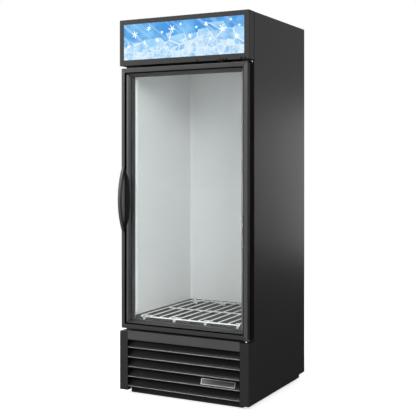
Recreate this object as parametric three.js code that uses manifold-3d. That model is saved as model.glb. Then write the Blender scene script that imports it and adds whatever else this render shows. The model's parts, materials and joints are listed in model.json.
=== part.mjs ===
// Glass-door ice merchandiser: a tall insulated cabinet with a lit sign on top,
// one self-closing glass door, and the refrigeration unit behind a louvered kick grille.
// Millimetres, +Z up, +X to the right seen from the front, -Y towards the viewer.
// The origin is the middle of the bounding box's bottom face.
import * as THREE from 'three';
import Module from 'manifold-3d';
import { mergeVertices } from 'three/addons/utils/BufferGeometryUtils.js';

const wasm = await Module();
wasm.setup();

// ---------------------------------------------------------------- driving dimensions
const cabinetWidth = 762;
const overallDepth = 752;       // header's face to the rear edge of the wrap
const frontReach = 66;          // header, door and kick panel stand this far before the cabinet's face
const handleReach = 40;         // grip's crest beyond the header's face

const skirtBottom = 24;         // lower edge of side sheets and kick posts
const kickHeight = 316;
const kickDoorGap = 12;
const doorHeight = 1388;
const doorHeaderGap = 13;
const headerHeight = 244;

const sheet = 1.5;              // folded steel sheet
const seat = 0.3;               // clearance between pieces that rest against each other
const sideWall = 50;            // outer skin to cabin
const rearWall = 50;
const floorThickness = 56;
const roofThickness = 62;
const deckDrop = 8;             // insulated floor's underside below the kick panel's top
const faceFrameDepth = 12;
const wrapRadius = 4;           // fold between the sides and the top
const openingDrop = 36;         // door's top edge above the cabin opening's top

const doorSideGap = 8;          // door edge inside the cabinet's side
const doorSetBack = 3;          // door face behind the header's face
const doorThickness = 55;
const hingeFromEdge = 17;       // pivot inside the door's edge
const hingeFromFace = 22;       // pivot behind the door's face
const hingePinRadius = 6;
const hingePinLength = 12;
const runningFit = 0.1;         // radial clearance of a pin or shaft in its hole
const shaftSides = 20;
const fanShaft = 3;
const dialShaft = 4;

const stripWidth = 24;          // flat outer face of stiles and rails
const stripFold = 1.5;
const grooveWidth = 5;
const grooveDepth = 10;
const bevelEdge = 45;           // door's edge to the bevel's inner edge
const bevelDepth = 22;
const glassRebate = 24;         // door face to the glass
const glassEdge = 33;           // door's edge to the glass's edge
const paneThickness = 4;
const paneSpacing = 14;
const sealStrip = 20;           // gasket's width

const gripLength = 352;
const gripBottom = 864;
const gripWidth = 20;
const gripThickness = 13;
const gripFoot = 26;            // grip's end that rests on the stile
const gripInset = 2;            // grip inside the door's edge
const gripBaseBulge = 49;       // door's edge to the base's crest

const signBorder = 26;          // header's side edge to the sign opening
const signBottomBorder = 29;
const signTopBorder = 25.5;
const signPanelThickness = 3;
const signPanelLap = 8;
const headerFrameDepth = 5;
const headerWall = 4;
const headerStep = 2;           // shadow groove's depth at the header's ends
const headerStepFront = 8;      // end of the front shadow groove
const headerStepRear = 6;       // width of the rear shadow groove
const lampRadius = 13;
const lampLength = 600;

const postWidth = 50;
const postDrop = 4;             // posts end this far under the top band
const bandHeight = 45;
const louverCount = 5;
const louverPitch = 51.5;
const firstNoseDrop = 86;       // top band's upper edge to the first louver's nose
const noseRadius = 3.6;
const noseTuck = 9;             // the nose's turned-back lip
const bladeShare = 0.8;         // blade's height as a share of the pitch
const bladeBend = Math.PI * 0.28;   // from upright at the hidden top edge to the nose

const baseRecess = 38;          // base frame's front behind the kick panel's face
const baseClearance = 6;        // under the base frame
const baseRail = 70;
const glideRadius = 20;
const glideStem = 6;
const sideNotchLength = 80;
const sideNotchHeight = 16;
const rearInset = 3;            // rear sheet inside the wrap's rear edge
const ventInset = 14;           // rear vent inside the wrap's rear edge

// ---------------------------------------------------------------- planes and levels
const halfWidth = cabinetWidth / 2;
const front = handleReach - (overallDepth + handleReach) / 2;
const face = front + frontReach;
const rear = front + overallDepth;
const doorFace = front + doorSetBack;
const doorBack = doorFace + doorThickness;

const kickTop = skirtBottom + kickHeight;
const doorBottom = kickTop + kickDoorGap;
const doorTop = doorBottom + doorHeight;
const headerBottom = doorTop + doorHeaderGap;
const top = headerBottom + headerHeight;

const deckUnder = kickTop - deckDrop;
const cabinFloor = deckUnder + floorThickness;
const cabinCeiling = top - roofThickness;
const openingTop = doorTop - openingDrop;
const cabinHalf = halfWidth - sideWall;
const cabinRear = rear - rearWall;
const frontWall = face + sideWall;       // inner face of the wall above the opening
const skinInner = halfWidth - sheet;
const rearSheetBack = rear - rearInset;
const rearSheetFront = rearSheetBack - sheet;
const ventBack = rear - ventInset;
const ventFront = ventBack - sheet;
const doorHalf = halfWidth - doorSideGap;
const baseHalf = halfWidth - postWidth;
const panTop = skirtBottom + 2;
const machineFloor = panTop + seat;

// ---------------------------------------------------------------- solids
function orientOut(positions, index) {
  let volume = 0;
  const corner = (i) => new THREE.Vector3().fromArray(positions, 3 * i);
  for (let i = 0; i < index.length; i += 3) {
    volume += corner(index[i]).dot(corner(index[i + 1]).cross(corner(index[i + 2])));
  }
  return volume < 0 ? index.slice().reverse() : index;
}

function solidOf(geometry) {
  geometry.deleteAttribute('normal');
  geometry.deleteAttribute('uv');
  const merged = mergeVertices(geometry, 1e-4);
  const index = Array.from(merged.index.array);
  const kept = [];
  for (let i = 0; i < index.length; i += 3) {
    const [a, b, c] = index.slice(i, i + 3);
    if (a !== b && b !== c && c !== a) kept.push(a, b, c);
  }
  const positions = Array.from(merged.attributes.position.array);
  return new wasm.Manifold(new wasm.Mesh({
    numProp: 3,
    vertProperties: new Float32Array(positions),
    triVerts: new Uint32Array(orientOut(positions, kept)),
  }));
}

const faceTolerance = 0.01;

function geometryOf(solid) {
  const mesh = solid.asOriginal().simplify(faceTolerance).getMesh();
  const geometry = new THREE.BufferGeometry();
  geometry.setAttribute('position', new THREE.BufferAttribute(mesh.vertProperties, 3));
  geometry.setIndex(new THREE.BufferAttribute(mesh.triVerts, 1));
  geometry.computeVertexNormals();
  return geometry;
}

const join = (...solids) => solids.reduce((sum, solid) => sum.add(solid));
const cut = (solid, ...tools) => tools.reduce((rest, tool) => rest.subtract(tool), solid);

function block([x0, x1], [y0, y1], [z0, z1]) {
  const box = new THREE.BoxGeometry(x1 - x0, y1 - y0, z1 - z0);
  box.translate((x0 + x1) / 2, (y0 + y1) / 2, (z0 + z1) / 2);
  return solidOf(box);
}

function outline(points) {
  return new THREE.Shape(points.map(([a, b]) => new THREE.Vector2(a, b)));
}

function roundedRect([a0, a1], [b0, b1], radius) {
  const shape = new THREE.Shape();
  shape.absarc(a1 - radius, b0 + radius, radius, -Math.PI / 2, 0);
  shape.absarc(a1 - radius, b1 - radius, radius, 0, Math.PI / 2);
  shape.absarc(a0 + radius, b1 - radius, radius, Math.PI / 2, Math.PI);
  shape.absarc(a0 + radius, b0 + radius, radius, Math.PI, Math.PI * 1.5);
  return shape;
}

// A flat outline carried along one axis: (y, z) along X, (x, z) along Y, (x, y) along Z.
function prism(shape, axis, from, to, curveSegments = 2) {
  const flat = Array.isArray(shape) ? outline(shape) : shape;
  const geometry = new THREE.ExtrudeGeometry(flat, { depth: to - from, bevelEnabled: false, curveSegments });
  if (axis === 'x') {
    geometry.applyMatrix4(new THREE.Matrix4().set(0, 0, 1, from, 1, 0, 0, 0, 0, 1, 0, 0, 0, 0, 0, 1));
  } else if (axis === 'y') {
    geometry.applyMatrix4(new THREE.Matrix4().set(1, 0, 0, 0, 0, 0, -1, to, 0, 1, 0, 0, 0, 0, 0, 1));
  } else {
    geometry.translate(0, 0, from);
  }
  return solidOf(geometry);
}

// A profile of [radius, height] points turned about Z, then laid along an axis at a centre.
function turned(profile, axis, [cx, cy, cz], sides = 24) {
  const points = profile.map(([radius, height]) => new THREE.Vector2(radius, height));
  const geometry = new THREE.LatheGeometry(points, sides);
  geometry.rotateX(Math.PI / 2);
  if (axis === 'x') geometry.rotateY(Math.PI / 2);
  if (axis === 'y') geometry.rotateX(-Math.PI / 2);
  geometry.translate(cx, cy, cz);
  return solidOf(geometry);
}

function rod(radius, axis, centre, from, to, sides = 16) {
  return turned([[0, from], [radius, from], [radius, to], [0, to]], axis, centre, sides);
}

function tube(points, radius, steps, sides = 8) {
  const path = new THREE.CatmullRomCurve3(points.map((p) => new THREE.Vector3(...p)), false, 'centripetal');
  const section = new THREE.Shape();
  section.absarc(0, 0, radius, 0, Math.PI * 2);
  return solidOf(new THREE.ExtrudeGeometry(section, { steps, extrudePath: path, curveSegments: sides / 2 }));
}

// Sections of one outline at several places, joined in order; closed into a ring or capped.
function loft(sections, outlinePoints, ring) {
  const count = outlinePoints.length;
  const positions = sections.flat(2);
  const index = [];
  const spans = ring ? sections.length : sections.length - 1;
  for (let s = 0; s < spans; s++) {
    const next = (s + 1) % sections.length;
    for (let i = 0; i < count; i++) {
      const j = (i + 1) % count;
      const [a, b, c, d] = [s * count + i, s * count + j, next * count + j, next * count + i];
      index.push(a, b, c, a, c, d);
    }
  }
  if (!ring) {
    const last = (sections.length - 1) * count;
    for (const [a, b, c] of THREE.ShapeUtils.triangulateShape(outline(outlinePoints).getPoints(), [])) {
      const flip = THREE.ShapeUtils.isClockWise(outline(outlinePoints).getPoints());
      const [first, second] = flip ? [b, c] : [c, b];
      index.push(a, first, second, last + a, last + second, last + first);
    }
  }
  const geometry = new THREE.BufferGeometry();
  geometry.setAttribute('position', new THREE.Float32BufferAttribute(positions, 3));
  geometry.setIndex(index);
  return solidOf(geometry);
}

// The corner sections of a rectangular frame, mitred at 45 degrees.
// Each profile point is [inwards from the edge, back from the plane].
function frameCorners(profile, half, bottom, height, plane) {
  const corner = (sideways, level) => profile.map(([u, v]) => [
    sideways * (half - u), plane + v, level < 0 ? bottom + u : height - u]);
  return [corner(-1, -1), corner(1, -1), corner(1, 1), corner(-1, 1)];
}

function mitredRing(profile, half, bottom, height, plane) {
  return loft(frameCorners(profile, half, bottom, height, plane), profile, true);
}

// One of the four members: 0 bottom, 1 right, 2 top, 3 left, with a hairline at each mitre.
function mitredMember(profile, half, bottom, height, plane, side) {
  const corners = frameCorners(profile, half, bottom, height, plane);
  const pull = seat / Math.SQRT2;
  const [first, second] = [corners[side], corners[(side + 1) % 4]];
  const along = side % 2 === 0 ? 0 : 2;
  const sense = Math.sign(second[0][along] - first[0][along]);
  const shift = (section, amount) => section.map((p) => p.map((value, i) => (i === along ? value + amount : value)));
  return loft([shift(first, sense * pull), shift(second, -sense * pull)], profile, false);
}

// ---------------------------------------------------------------- finishes
const finish = (color, roughness, metalness, extra = {}) =>
  new THREE.MeshStandardMaterial({ color, roughness, metalness, ...extra });
const blackPaint = () => finish(0x2b2b2c, 0.45, 0.3);
const blackAluminium = () => finish(0x38383a, 0.4, 0.6);
const blackPlastic = () => finish(0x18181a, 0.6, 0);
const whiteLining = () => finish(0xe4e6e6, 0.45, 0);
const zinc = () => finish(0xa6aaad, 0.4, 0.8);
const clearGlass = () => finish(0xd6e2e4, 0.05, 0, { transparent: true, opacity: 0.25 });

const merchandiser = new THREE.Group();

function place(name, solid, material) {
  const mesh = new THREE.Mesh(geometryOf(solid), material);
  mesh.name = name;
  merchandiser.add(mesh);
  return mesh;
}

// ---------------------------------------------------------------- cabinet
function cabinetWrap() {
  const folded = prism(roundedTop(halfWidth, skirtBottom, top, wrapRadius), 'y', face, rear);
  const hollow = prism(roundedTop(skinInner, skirtBottom - 1, top - sheet, wrapRadius - sheet), 'y', face - 1, rear + 1);
  const notch = block([-halfWidth - 1, halfWidth + 1], [rear - sideNotchLength, rear + 1],
    [skirtBottom - 1, skirtBottom + sideNotchHeight]);
  return cut(folded, hollow, notch);
}

// The outline that fills the wrap with a hairline all round.
function insideWrap(bottom) {
  return roundedTop(skinInner - seat, bottom, top - sheet - seat, wrapRadius - sheet);
}

function roundedTop(half, bottom, height, radius) {
  const shape = new THREE.Shape();
  shape.moveTo(-half, bottom);
  shape.lineTo(half, bottom);
  shape.absarc(half - radius, height - radius, radius, 0, Math.PI / 2);
  shape.absarc(-half + radius, height - radius, radius, Math.PI / 2, Math.PI);
  return shape;
}

function faceFrame() {
  const plate = prism(insideWrap(deckUnder), 'y', face, face + faceFrameDepth);
  const opening = prism(roundedRect([-cabinHalf, cabinHalf], [cabinFloor, openingTop], 6), 'y', face - 1, face + faceFrameDepth + 1);
  return cut(plate, opening);
}

// The cabin's space, grown by a margin: the tall chamber and the passage to the door.
function cabinSpace(margin, frontPlane) {
  const across = [-cabinHalf - margin, cabinHalf + margin];
  const chamber = prism(roundedRect(across, [frontWall - margin, cabinRear + margin], 14 + margin), 'z',
    cabinFloor - margin, cabinCeiling + margin);
  const passage = block(across, [frontPlane, frontWall + 60], [cabinFloor - margin, openingTop + margin]);
  return join(chamber, passage);
}

function insulation() {
  const foam = prism(insideWrap(deckUnder + sheet + seat), 'y', face + faceFrameDepth + seat, rearSheetFront - seat);
  return cut(foam, cabinSpace(sheet + seat, face));
}

// The sheet that carries the insulated floor over the machine compartment.
function machineDeck() {
  return block([-skinInner + seat, skinInner - seat], [face + faceFrameDepth + seat, rearSheetFront - seat],
    [deckUnder, deckUnder + sheet]);
}

function cabinLiner() {
  return cut(cabinSpace(sheet, face + faceFrameDepth + seat), cabinSpace(0, face));
}

function rearPanel() {
  const plate = prism(insideWrap(deckUnder), 'y', rearSheetFront, rearSheetBack);
  const beads = [-1, 1].map((side) => prism([
    [side * 150 - 30, rearSheetBack - 0.5], [side * 150 + 30, rearSheetBack - 0.5],
    [side * 150 + 22, rearSheetBack + 2.5], [side * 150 - 22, rearSheetBack + 2.5]], 'z', deckUnder + 120, top - 160));
  return join(plate, ...beads);
}

const ventColumns = 11;
const ventRows = 2;
const ventPitch = 42;
const ventRowPitch = 90;
const slotHalf = [5, 32];
const ventMiddle = [60, 165];   // x and z of the field of slots
const glandRadius = 11;
const glandBore = 6;
const glandSides = 12;
const glandX = -baseHalf + 41;
const glandZ = 120;

function rearVent() {
  const across = [-skinInner + seat, skinInner - seat];
  const plate = block(across, [ventFront, ventBack], [skirtBottom + sideNotchHeight, deckUnder - seat]);
  const slots = [];
  for (let row = 0; row < ventRows; row++) {
    for (let column = 0; column < ventColumns; column++) {
      const x = ventMiddle[0] + (column - (ventColumns - 1) / 2) * ventPitch;
      const z = ventMiddle[1] + (row - (ventRows - 1) / 2) * ventRowPitch;
      slots.push(block([x - slotHalf[0], x + slotHalf[0]], [ventFront - 1, ventBack + 1],
        [z - slotHalf[1], z + slotHalf[1]]));
    }
  }
  const glandHole = rod(glandRadius + seat, 'y', [glandX, ventFront, glandZ], -5, 10, glandSides);
  return cut(plate, glandHole, ...slots);
}

// A grommet with a bore that the supply lead would pass through.
function cordGland() {
  const profile = [[glandBore, -12], [glandRadius, -12], [glandRadius, sheet + seat], [17, sheet + seat], [16, 8],
    [12, 10], [glandBore, 10]];
  const barrel = turned([...profile, profile[0]], 'y', [glandX, ventFront, glandZ], glandSides);
  const shoulder = turned([[glandRadius - 1, -6], [15, -6], [15, -seat], [glandRadius - 1, -seat], [glandRadius - 1, -6]],
    'y', [glandX, ventFront, glandZ], glandSides);
  return join(barrel, shoulder);
}

// ---------------------------------------------------------------- base
const glideX = baseHalf - 36;
const glideFrontY = front + 75;
const glideRearY = rear - 47;

function baseFrame() {
  const frontY = front + baseRecess;
  const backY = ventFront - seat;
  const rail = (x0, x1) => block([x0, x1], [frontY, backY], [baseClearance, skirtBottom + 1]);
  const cross = (y0, y1) => block([-baseHalf, baseHalf], [y0, y1], [baseClearance, skirtBottom + 1]);
  const pan = block([-baseHalf, baseHalf], [frontY, backY], [skirtBottom, panTop]);
  const riser = block([-baseHalf, baseHalf], [frontY, frontY + 2], [baseClearance, skirtBottom + 22]);
  const wings = [-1, 1].map((side) => {
    const [inner, outer] = [side * (baseHalf - 1), side * (skinInner - seat)];
    const turnUp = side * (skinInner - seat - 2);
    const span = (a, b) => [Math.min(a, b), Math.max(a, b)];
    const wingY = [face + seat, rear - sideNotchLength - 1];
    return join(block(span(inner, outer), wingY, [skirtBottom, panTop]),
      block(span(turnUp, outer), wingY, [skirtBottom, skirtBottom + 26]));
  });
  const holes = [glideFrontY, glideRearY].flatMap((y) => [-1, 1].map((side) =>
    rod(glideStem + seat, 'z', [side * glideX, y, 0], 0, panTop + 1)));
  const frame = join(pan, riser, rail(-baseHalf, -baseHalf + baseRail), rail(baseHalf - baseRail, baseHalf),
    cross(frontY, frontY + baseRail), cross(backY - baseRail, backY), ...wings);
  return cut(frame, ...holes);
}

// A levelling glide: a wide foot, a wrench flat and a threaded stem in the frame's hole.
function glide(x, y) {
  return turned([[0, 0], [glideRadius - 2, 0], [glideRadius, 2], [glideRadius, 3.5], [11, baseClearance - seat],
    [glideStem, baseClearance - seat], [glideStem, panTop + 14], [glideStem - 1, panTop + 15], [0, panTop + 15]],
  'z', [x, y, 0], 12);
}

// ---------------------------------------------------------------- header
const signX = halfWidth - signBorder;
const signBottom = headerBottom + signBottomBorder;
const signTop = top - signTopBorder;
const headerInner = halfWidth - headerWall;
const headerBack = face - seat;

function headerFrame() {
  const lid = prism(roundedRect([-halfWidth, halfWidth], [headerBottom, top], 3), 'y', front, front + headerFrameDepth);
  const hollow = block([-halfWidth + sheet, halfWidth - sheet], [front + sheet, front + headerFrameDepth + 1],
    [headerBottom + sheet, top - sheet]);
  const window = prism(roundedRect([-signX, signX], [signBottom, signTop], 2), 'y', front - 1, front + sheet + 1);
  return cut(lid, hollow, window);
}

// Side cheeks, top and bottom in one, with a shadow groove before and behind the cheeks.
function headerBox() {
  const shell = (inset, y0, y1) => cut(
    block([-halfWidth + inset, halfWidth - inset], [y0, y1], [headerBottom + inset, top - inset]),
    block([-headerInner, headerInner], [y0 - 1, y1 + 1], [headerBottom + headerWall, top - headerWall]));
  const cheeks = shell(0, front + headerStepFront, face - headerStepRear);
  const core = shell(headerStep, front + headerFrameDepth + seat, headerBack);
  const bracketNotch = block([bracketX0 - 2, bracketX1 + 2], [face - 8, face + 1],
    [headerBottom - 1, headerBottom + headerWall + 1]);
  const switchHole = block([switchX - switchBody / 2 - seat, switchX + switchBody / 2 + seat],
    [switchY - switchDepth / 2 - seat, switchY + switchDepth / 2 + seat],
    [headerBottom - 1, headerBottom + headerWall + 1]);
  return cut(join(cheeks, core), bracketNotch, switchHole);
}

function signPanel() {
  const y0 = front + sheet + seat;
  return block([-signX - signPanelLap, signX + signPanelLap], [y0, y0 + signPanelThickness],
    [signBottom - signPanelLap, signTop + signPanelLap]);
}

// An angle round the sign that presses it against the header's front.
function signRetainer() {
  const y0 = front + sheet + seat + signPanelThickness + seat;
  const edge = halfWidth - headerInner + seat;
  const lap = signBorder - 4;
  const profile = [[edge, 2.2], [edge + 3, 2.2], [edge + 3, 0], [lap, 0], [lap, 2], [edge + 4.5, 2], [edge + 2, 5],
    [edge + 2, 9], [edge, 9]];
  return mitredRing(profile, halfWidth, headerBottom, top, y0);
}

const lampY = front + 34;
const lampZ = (signBottom + signTop) / 2;
const trayFront = face - 16;

// The white tray behind the lamp, a shallow channel that throws its light forward.
function lampTray() {
  const [z0, z1] = [headerBottom + headerWall + seat, top - headerWall - seat];
  const y1 = headerBack;
  const section = [[y1, z0], [y1, z1], [trayFront, z1], [trayFront, z1 - 2], [y1 - 2, z1 - 30], [y1 - 2, z0 + 30],
    [trayFront, z0 + 2], [trayFront, z0]];
  const legNotch = block([bracketX0 - 2, bracketX1 + 2], [legBack - bracketLeg - 1, y1 + 1],
    [z0 - 1, bracketUpZ + bracketLegHeight + 2]);
  return cut(prism(section, 'x', -headerInner + seat, headerInner - seat), legNotch);
}

function lampTube() {
  const half = lampLength / 2;
  return turned([[0, -half - 12], [2.5, -half - 12], [2.5, -half], [lampRadius, -half], [lampRadius, half],
    [2.5, half], [2.5, half + 12], [0, half + 12]], 'x', [0, lampY, lampZ], 14);
}

function lampHolder(side) {
  const inner = lampLength / 2 + seat;
  const outer = inner + 20;
  const shape = new THREE.Shape();
  shape.moveTo(headerBack - 2 - seat, lampZ + 14);
  shape.lineTo(headerBack - 2 - seat, lampZ - 14);
  shape.lineTo(lampY, lampZ - 14);
  shape.absarc(lampY, lampZ, 14, -Math.PI / 2, Math.PI / 2, true);
  const body = prism(shape, 'x', Math.min(side * inner, side * outer), Math.max(side * inner, side * outer), 8);
  return cut(body, rod(2.5 + seat, 'x', [0, lampY, lampZ], side > 0 ? inner - 1 : -inner - 13,
    side > 0 ? inner + 13 : -inner + 1, 12));
}

const switchX = 222;
const switchY = front + 27;
const switchBody = 30;
const switchDepth = 15;
const rockerLength = 23;
const rockerPivotZ = headerBottom + 2;
const rockerWidth = 11;

function switchBezel() {
  const ring = block([switchX - switchBody / 2 - 2, switchX + switchBody / 2 + 2],
    [switchY - switchDepth / 2 - 2, switchY + switchDepth / 2 + 2], [headerBottom - 2, headerBottom - seat]);
  const body = block([switchX - switchBody / 2, switchX + switchBody / 2],
    [switchY - switchDepth / 2, switchY + switchDepth / 2], [headerBottom - 1, headerBottom + 20]);
  const pocket = block([switchX - rockerLength / 2 - 2, switchX + rockerLength / 2 + 2],
    [switchY - rockerWidth / 2 - seat, switchY + rockerWidth / 2 + seat], [headerBottom - 3, headerBottom + 10]);
  return cut(join(ring, body), pocket);
}

// The rocker's lower face is two planes that meet under the pivot; the left one is pressed out.
function switchRocker() {
  const half = rockerLength / 2;
  const section = [[-half, -6.5], [0, -4], [half, -2.6], [half, 1], [3, 3], [-3, 3], [-half, -1]];
  return prism(section.map(([x, z]) => [switchX + x, rockerPivotZ + z]), 'y', switchY - rockerWidth / 2,
    switchY + rockerWidth / 2);
}

// ---------------------------------------------------------------- hinges
const pivotX = doorHalf - hingeFromEdge;
const pivotY = doorFace + hingeFromFace;
const bracketPlate = 4;
const bracketX0 = pivotX - 20;
const bracketX1 = pivotX + 16;
const bracketLeg = 3;
const bracketLegHeight = 60;
const bracketUpZ = doorTop + 4;
const bracketLowZ = doorBottom - 4 - bracketPlate;
const legBack = face - seat;

function bracket(plateZ, legZ, pinFrom, pinTo) {
  const plate = prism(roundedRect([bracketX0, bracketX1], [pivotY - 14, legBack], 6), 'z', plateZ, plateZ + bracketPlate);
  const square = block([bracketX0, bracketX1], [legBack - 20, legBack], [plateZ, plateZ + bracketPlate]);
  const leg = block([bracketX0, bracketX1], [legBack - bracketLeg, legBack], legZ);
  const pin = rod(hingePinRadius, 'z', [pivotX, pivotY, 0], pinFrom, pinTo, shaftSides);
  return join(plate, square, leg, pin);
}

const upperBracket = () => bracket(bracketUpZ, [bracketUpZ, bracketUpZ + bracketLegHeight],
  doorTop - hingePinLength, bracketUpZ + 1);
const lowerBracket = () => bracket(bracketLowZ, [bracketLowZ - bracketLegHeight, bracketLowZ + bracketPlate],
  bracketLowZ + 1, doorBottom + hingePinLength);

const pinHoles = () => [
  rod(hingePinRadius + runningFit, 'z', [pivotX, pivotY, 0], doorTop - hingePinLength - 1, doorTop + 1, shaftSides),
  rod(hingePinRadius + runningFit, 'z', [pivotX, pivotY, 0], doorBottom - 1, doorBottom + hingePinLength + 1, shaftSides)];

// The nylon-faced ring that the door turns on.
function thrustWasher() {
  const z0 = bracketLowZ + bracketPlate + seat;
  const [inner, outer] = [hingePinRadius + runningFit, 13];
  const profile = [[inner, z0], [outer, z0], [outer, doorBottom - seat - 1], [outer - 1, doorBottom - seat],
    [inner, doorBottom - seat], [inner, z0]];
  return turned(profile, 'z', [pivotX, pivotY, 0], shaftSides);
}

// ---------------------------------------------------------------- door
const memberProfile = [
  [0, 2.5], [0.8, 0.8], [2.5, 0], [stripWidth - stripFold, 0], [stripWidth, stripFold], [stripWidth, grooveDepth],
  [stripWidth + grooveWidth, grooveDepth], [stripWidth + grooveWidth, grooveDepth - 3],
  [stripWidth + grooveWidth + 1, grooveDepth - 3.8], [bevelEdge, bevelDepth], [bevelEdge, glassRebate - seat],
  [glassEdge - 2, glassRebate - seat], [glassEdge - 2, doorThickness], [6, doorThickness], [6, 33], [1, 33], [1, 13],
  [4, 13], [4, 7], [0, 7]];

function doorMember(side) {
  return cut(mitredMember(memberProfile, doorHalf, doorBottom, doorTop, doorFace, side), ...pinHoles());
}

function pane(y0) {
  const half = doorHalf - glassEdge;
  return block([-half, half], [y0, y0 + paneThickness], [doorBottom + glassEdge, doorTop - glassEdge]);
}

const outerPaneY = doorFace + glassRebate;
const spacerY = outerPaneY + paneThickness + seat;
const innerPaneY = spacerY + paneSpacing + seat;
const packBack = innerPaneY + paneThickness;

function glassSpacer() {
  const profile = [[glassEdge, 0], [bevelEdge - 1, 0], [bevelEdge - 1, paneSpacing], [glassEdge, paneSpacing]];
  return mitredRing(profile, doorHalf, doorBottom, doorTop, spacerY);
}

function glassRetainer() {
  const plane = packBack + seat;
  const depth = doorBack - plane;
  const profile = [[glassEdge - 2 + seat, 0], [bevelEdge - 3, 0], [bevelEdge, 3], [bevelEdge, depth - 1],
    [bevelEdge - 1, depth], [glassEdge - 2 + seat, depth]];
  return mitredRing(profile, doorHalf, doorBottom, doorTop, plane);
}

// Magnet bulb against the cabinet's face, and a bellows neck to the door.
function doorGasket() {
  const reach = face - seat - (doorBack + seat);
  const outer = hingeFromEdge;
  const profile = [[outer + 4, 0], [outer + sealStrip - 4, 0], [outer + sealStrip - 6, reach * 0.35],
    [outer + sealStrip, reach * 0.5], [outer + sealStrip, reach], [outer, reach], [outer, reach * 0.5],
    [outer + 6, reach * 0.35]];
  return mitredRing(profile, doorHalf, doorBottom, doorTop, doorBack + seat);
}

// ---------------------------------------------------------------- handle
const gripTop = gripBottom + gripLength;
const gripMid = (gripBottom + gripTop) / 2;
const gripX0 = -doorHalf + gripInset;
const gripX1 = gripX0 + gripWidth;

// A ribbon bowed from the door's face to its crest and back, thicker where it lands.
function handleGrip() {
  const crest = front - handleReach;
  const landing = doorFace - seat;
  const half = gripLength / 2;
  const rise = landing - crest;
  const radius = (half * half + rise * rise) / (2 * rise);
  const sweep = Math.asin(half / radius);
  const soft = gripThickness * 0.3;
  const section = (thickness) => [[gripX0 + soft, 0], [gripX1 - soft, 0], [gripX1, -soft],
    [gripX1, soft - thickness], [gripX1 - soft, -thickness], [gripX0 + soft, -thickness],
    [gripX0, soft - thickness], [gripX0, -soft]];
  const stations = 20;
  const sections = [];
  for (let i = 0; i <= stations; i++) {
    const share = (2 * i) / stations - 1;
    const angle = share * sweep;
    const thickness = gripThickness + (gripFoot - gripThickness) * share ** 4;
    sections.push(section(thickness).map(([x, out]) => [x, crest + radius - (radius + out) * Math.cos(angle),
      gripMid + (radius + out) * Math.sin(angle)]));
  }
  const ribbon = loft(sections, section(gripThickness), false);
  return cut(ribbon, block([gripX0 - 1, gripX1 + 1], [landing, landing + 2 * gripFoot], [gripBottom - 50, gripTop + 50]));
}

// The scooped base that fills the stile's groove and bevel beside the grip.
function handleBase() {
  const edge = gripInset + gripWidth + seat;
  const section = [[edge, -4], [edge + 4, -4], [edge + 10, -2.5], [edge + 18, 1], [gripBaseBulge, 6.5],
    [gripBaseBulge, 9.5], [bevelEdge - 4, bevelDepth - 5.2], [stripWidth + grooveWidth + 1.2, grooveDepth - 4.1],
    [stripWidth + grooveWidth - seat, grooveDepth - 3.2], [stripWidth + grooveWidth - seat, grooveDepth - seat],
    [stripWidth + seat, grooveDepth - seat], [stripWidth + seat, -seat], [edge, -seat]];
  const bar = prism(section.map(([u, v]) => [-doorHalf + u, doorFace + v]), 'z', gripBottom, gripTop);
  const [straight, crest] = [-doorHalf + edge - 1, -doorHalf + gripBaseBulge];
  const half = gripLength / 2 - 4;
  const rise = crest - straight;
  const radius = (half * half + rise * rise) / (2 * rise);
  const sweep = Math.asin(half / radius);
  const arc = new THREE.Shape();
  arc.absarc(crest - radius, gripMid, radius, -sweep, sweep);
  return bar.intersect(prism(arc, 'y', doorFace - 10, doorFace + 30, 24));
}

// ---------------------------------------------------------------- cabin fittings
const floorSheet = 1.2;
const floorUpturn = 25;
const floorPanTop = cabinFloor + seat + floorSheet;
const rackHeight = 30;
const rackFrontY = front + 80;
const rackRearY = cabinRear - 22;
const rackHalf = cabinHalf - 36;
const rackWire = 3;
const rackFrameWire = 3.5;
const rackWires = 11;
const rackFeet = 4;

// A steel tray laid on the cabin's floor, turned up along the sides and the back.
function cabinFloorPan() {
  const tray = (inset, low, frontPlane) => join(
    prism(roundedRect([-cabinHalf + seat + inset, cabinHalf - seat - inset],
      [frontWall, cabinRear - seat - inset], 14 - inset), 'z', low, cabinFloor + floorUpturn + inset),
    block([-cabinHalf + seat + inset, cabinHalf - seat - inset], [frontPlane, frontWall + 60],
      [low, cabinFloor + floorUpturn + inset]));
  const start = face + faceFrameDepth + seat;
  return cut(tray(0, cabinFloor + seat, start), tray(floorSheet, floorPanTop, start - 1));
}

function floorRack() {
  const topZ = cabinFloor + rackHeight;
  const wireZ = topZ - rackWire;
  const frameZ = wireZ - rackWire - rackFrameWire + 1;
  const pieces = [rackFrontY, (rackFrontY + rackRearY) / 2, rackRearY].map((y) =>
    rod(rackFrameWire, 'x', [0, y, frameZ], -rackHalf, rackHalf, 6));
  for (let i = 0; i < rackWires; i++) {
    const x = -rackHalf + 6 + (i * 2 * (rackHalf - 6)) / (rackWires - 1);
    pieces.push(rod(rackWire, 'y', [x, 0, wireZ], rackFrontY - 2, rackRearY + 2, 6));
  }
  const floor = floorPanTop + seat + rackWire;
  for (let i = 0; i < rackFeet; i++) {
    const x = -rackHalf + 16 + (i * 2 * (rackHalf - 16)) / (rackFeet - 1);
    for (const [y, sense] of [[rackFrontY, 1], [rackRearY, -1]]) {
      const post = block([x - 2.5, x + 2.5], [y - 2.5, y + 2.5], [floorPanTop + seat, frameZ]);
      const brace = prism([[y, floor - 3], [y + sense * 6, floor - 3], [y + sense * 44, frameZ + 2],
        [y + sense * 38, frameZ + 3], [y, floor + 2]], 'x', x - 2.5, x + 2.5);
      pieces.push(post, brace, rod(2.5, 'x', [0, y + sense * 40, frameZ], x - 24, x + 24, 6));
    }
  }
  return join(...pieces);
}

const lightBarDepth = 11;
const lightBarWidth = 20;
const lightBarY = face + faceFrameDepth + 4;

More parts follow.
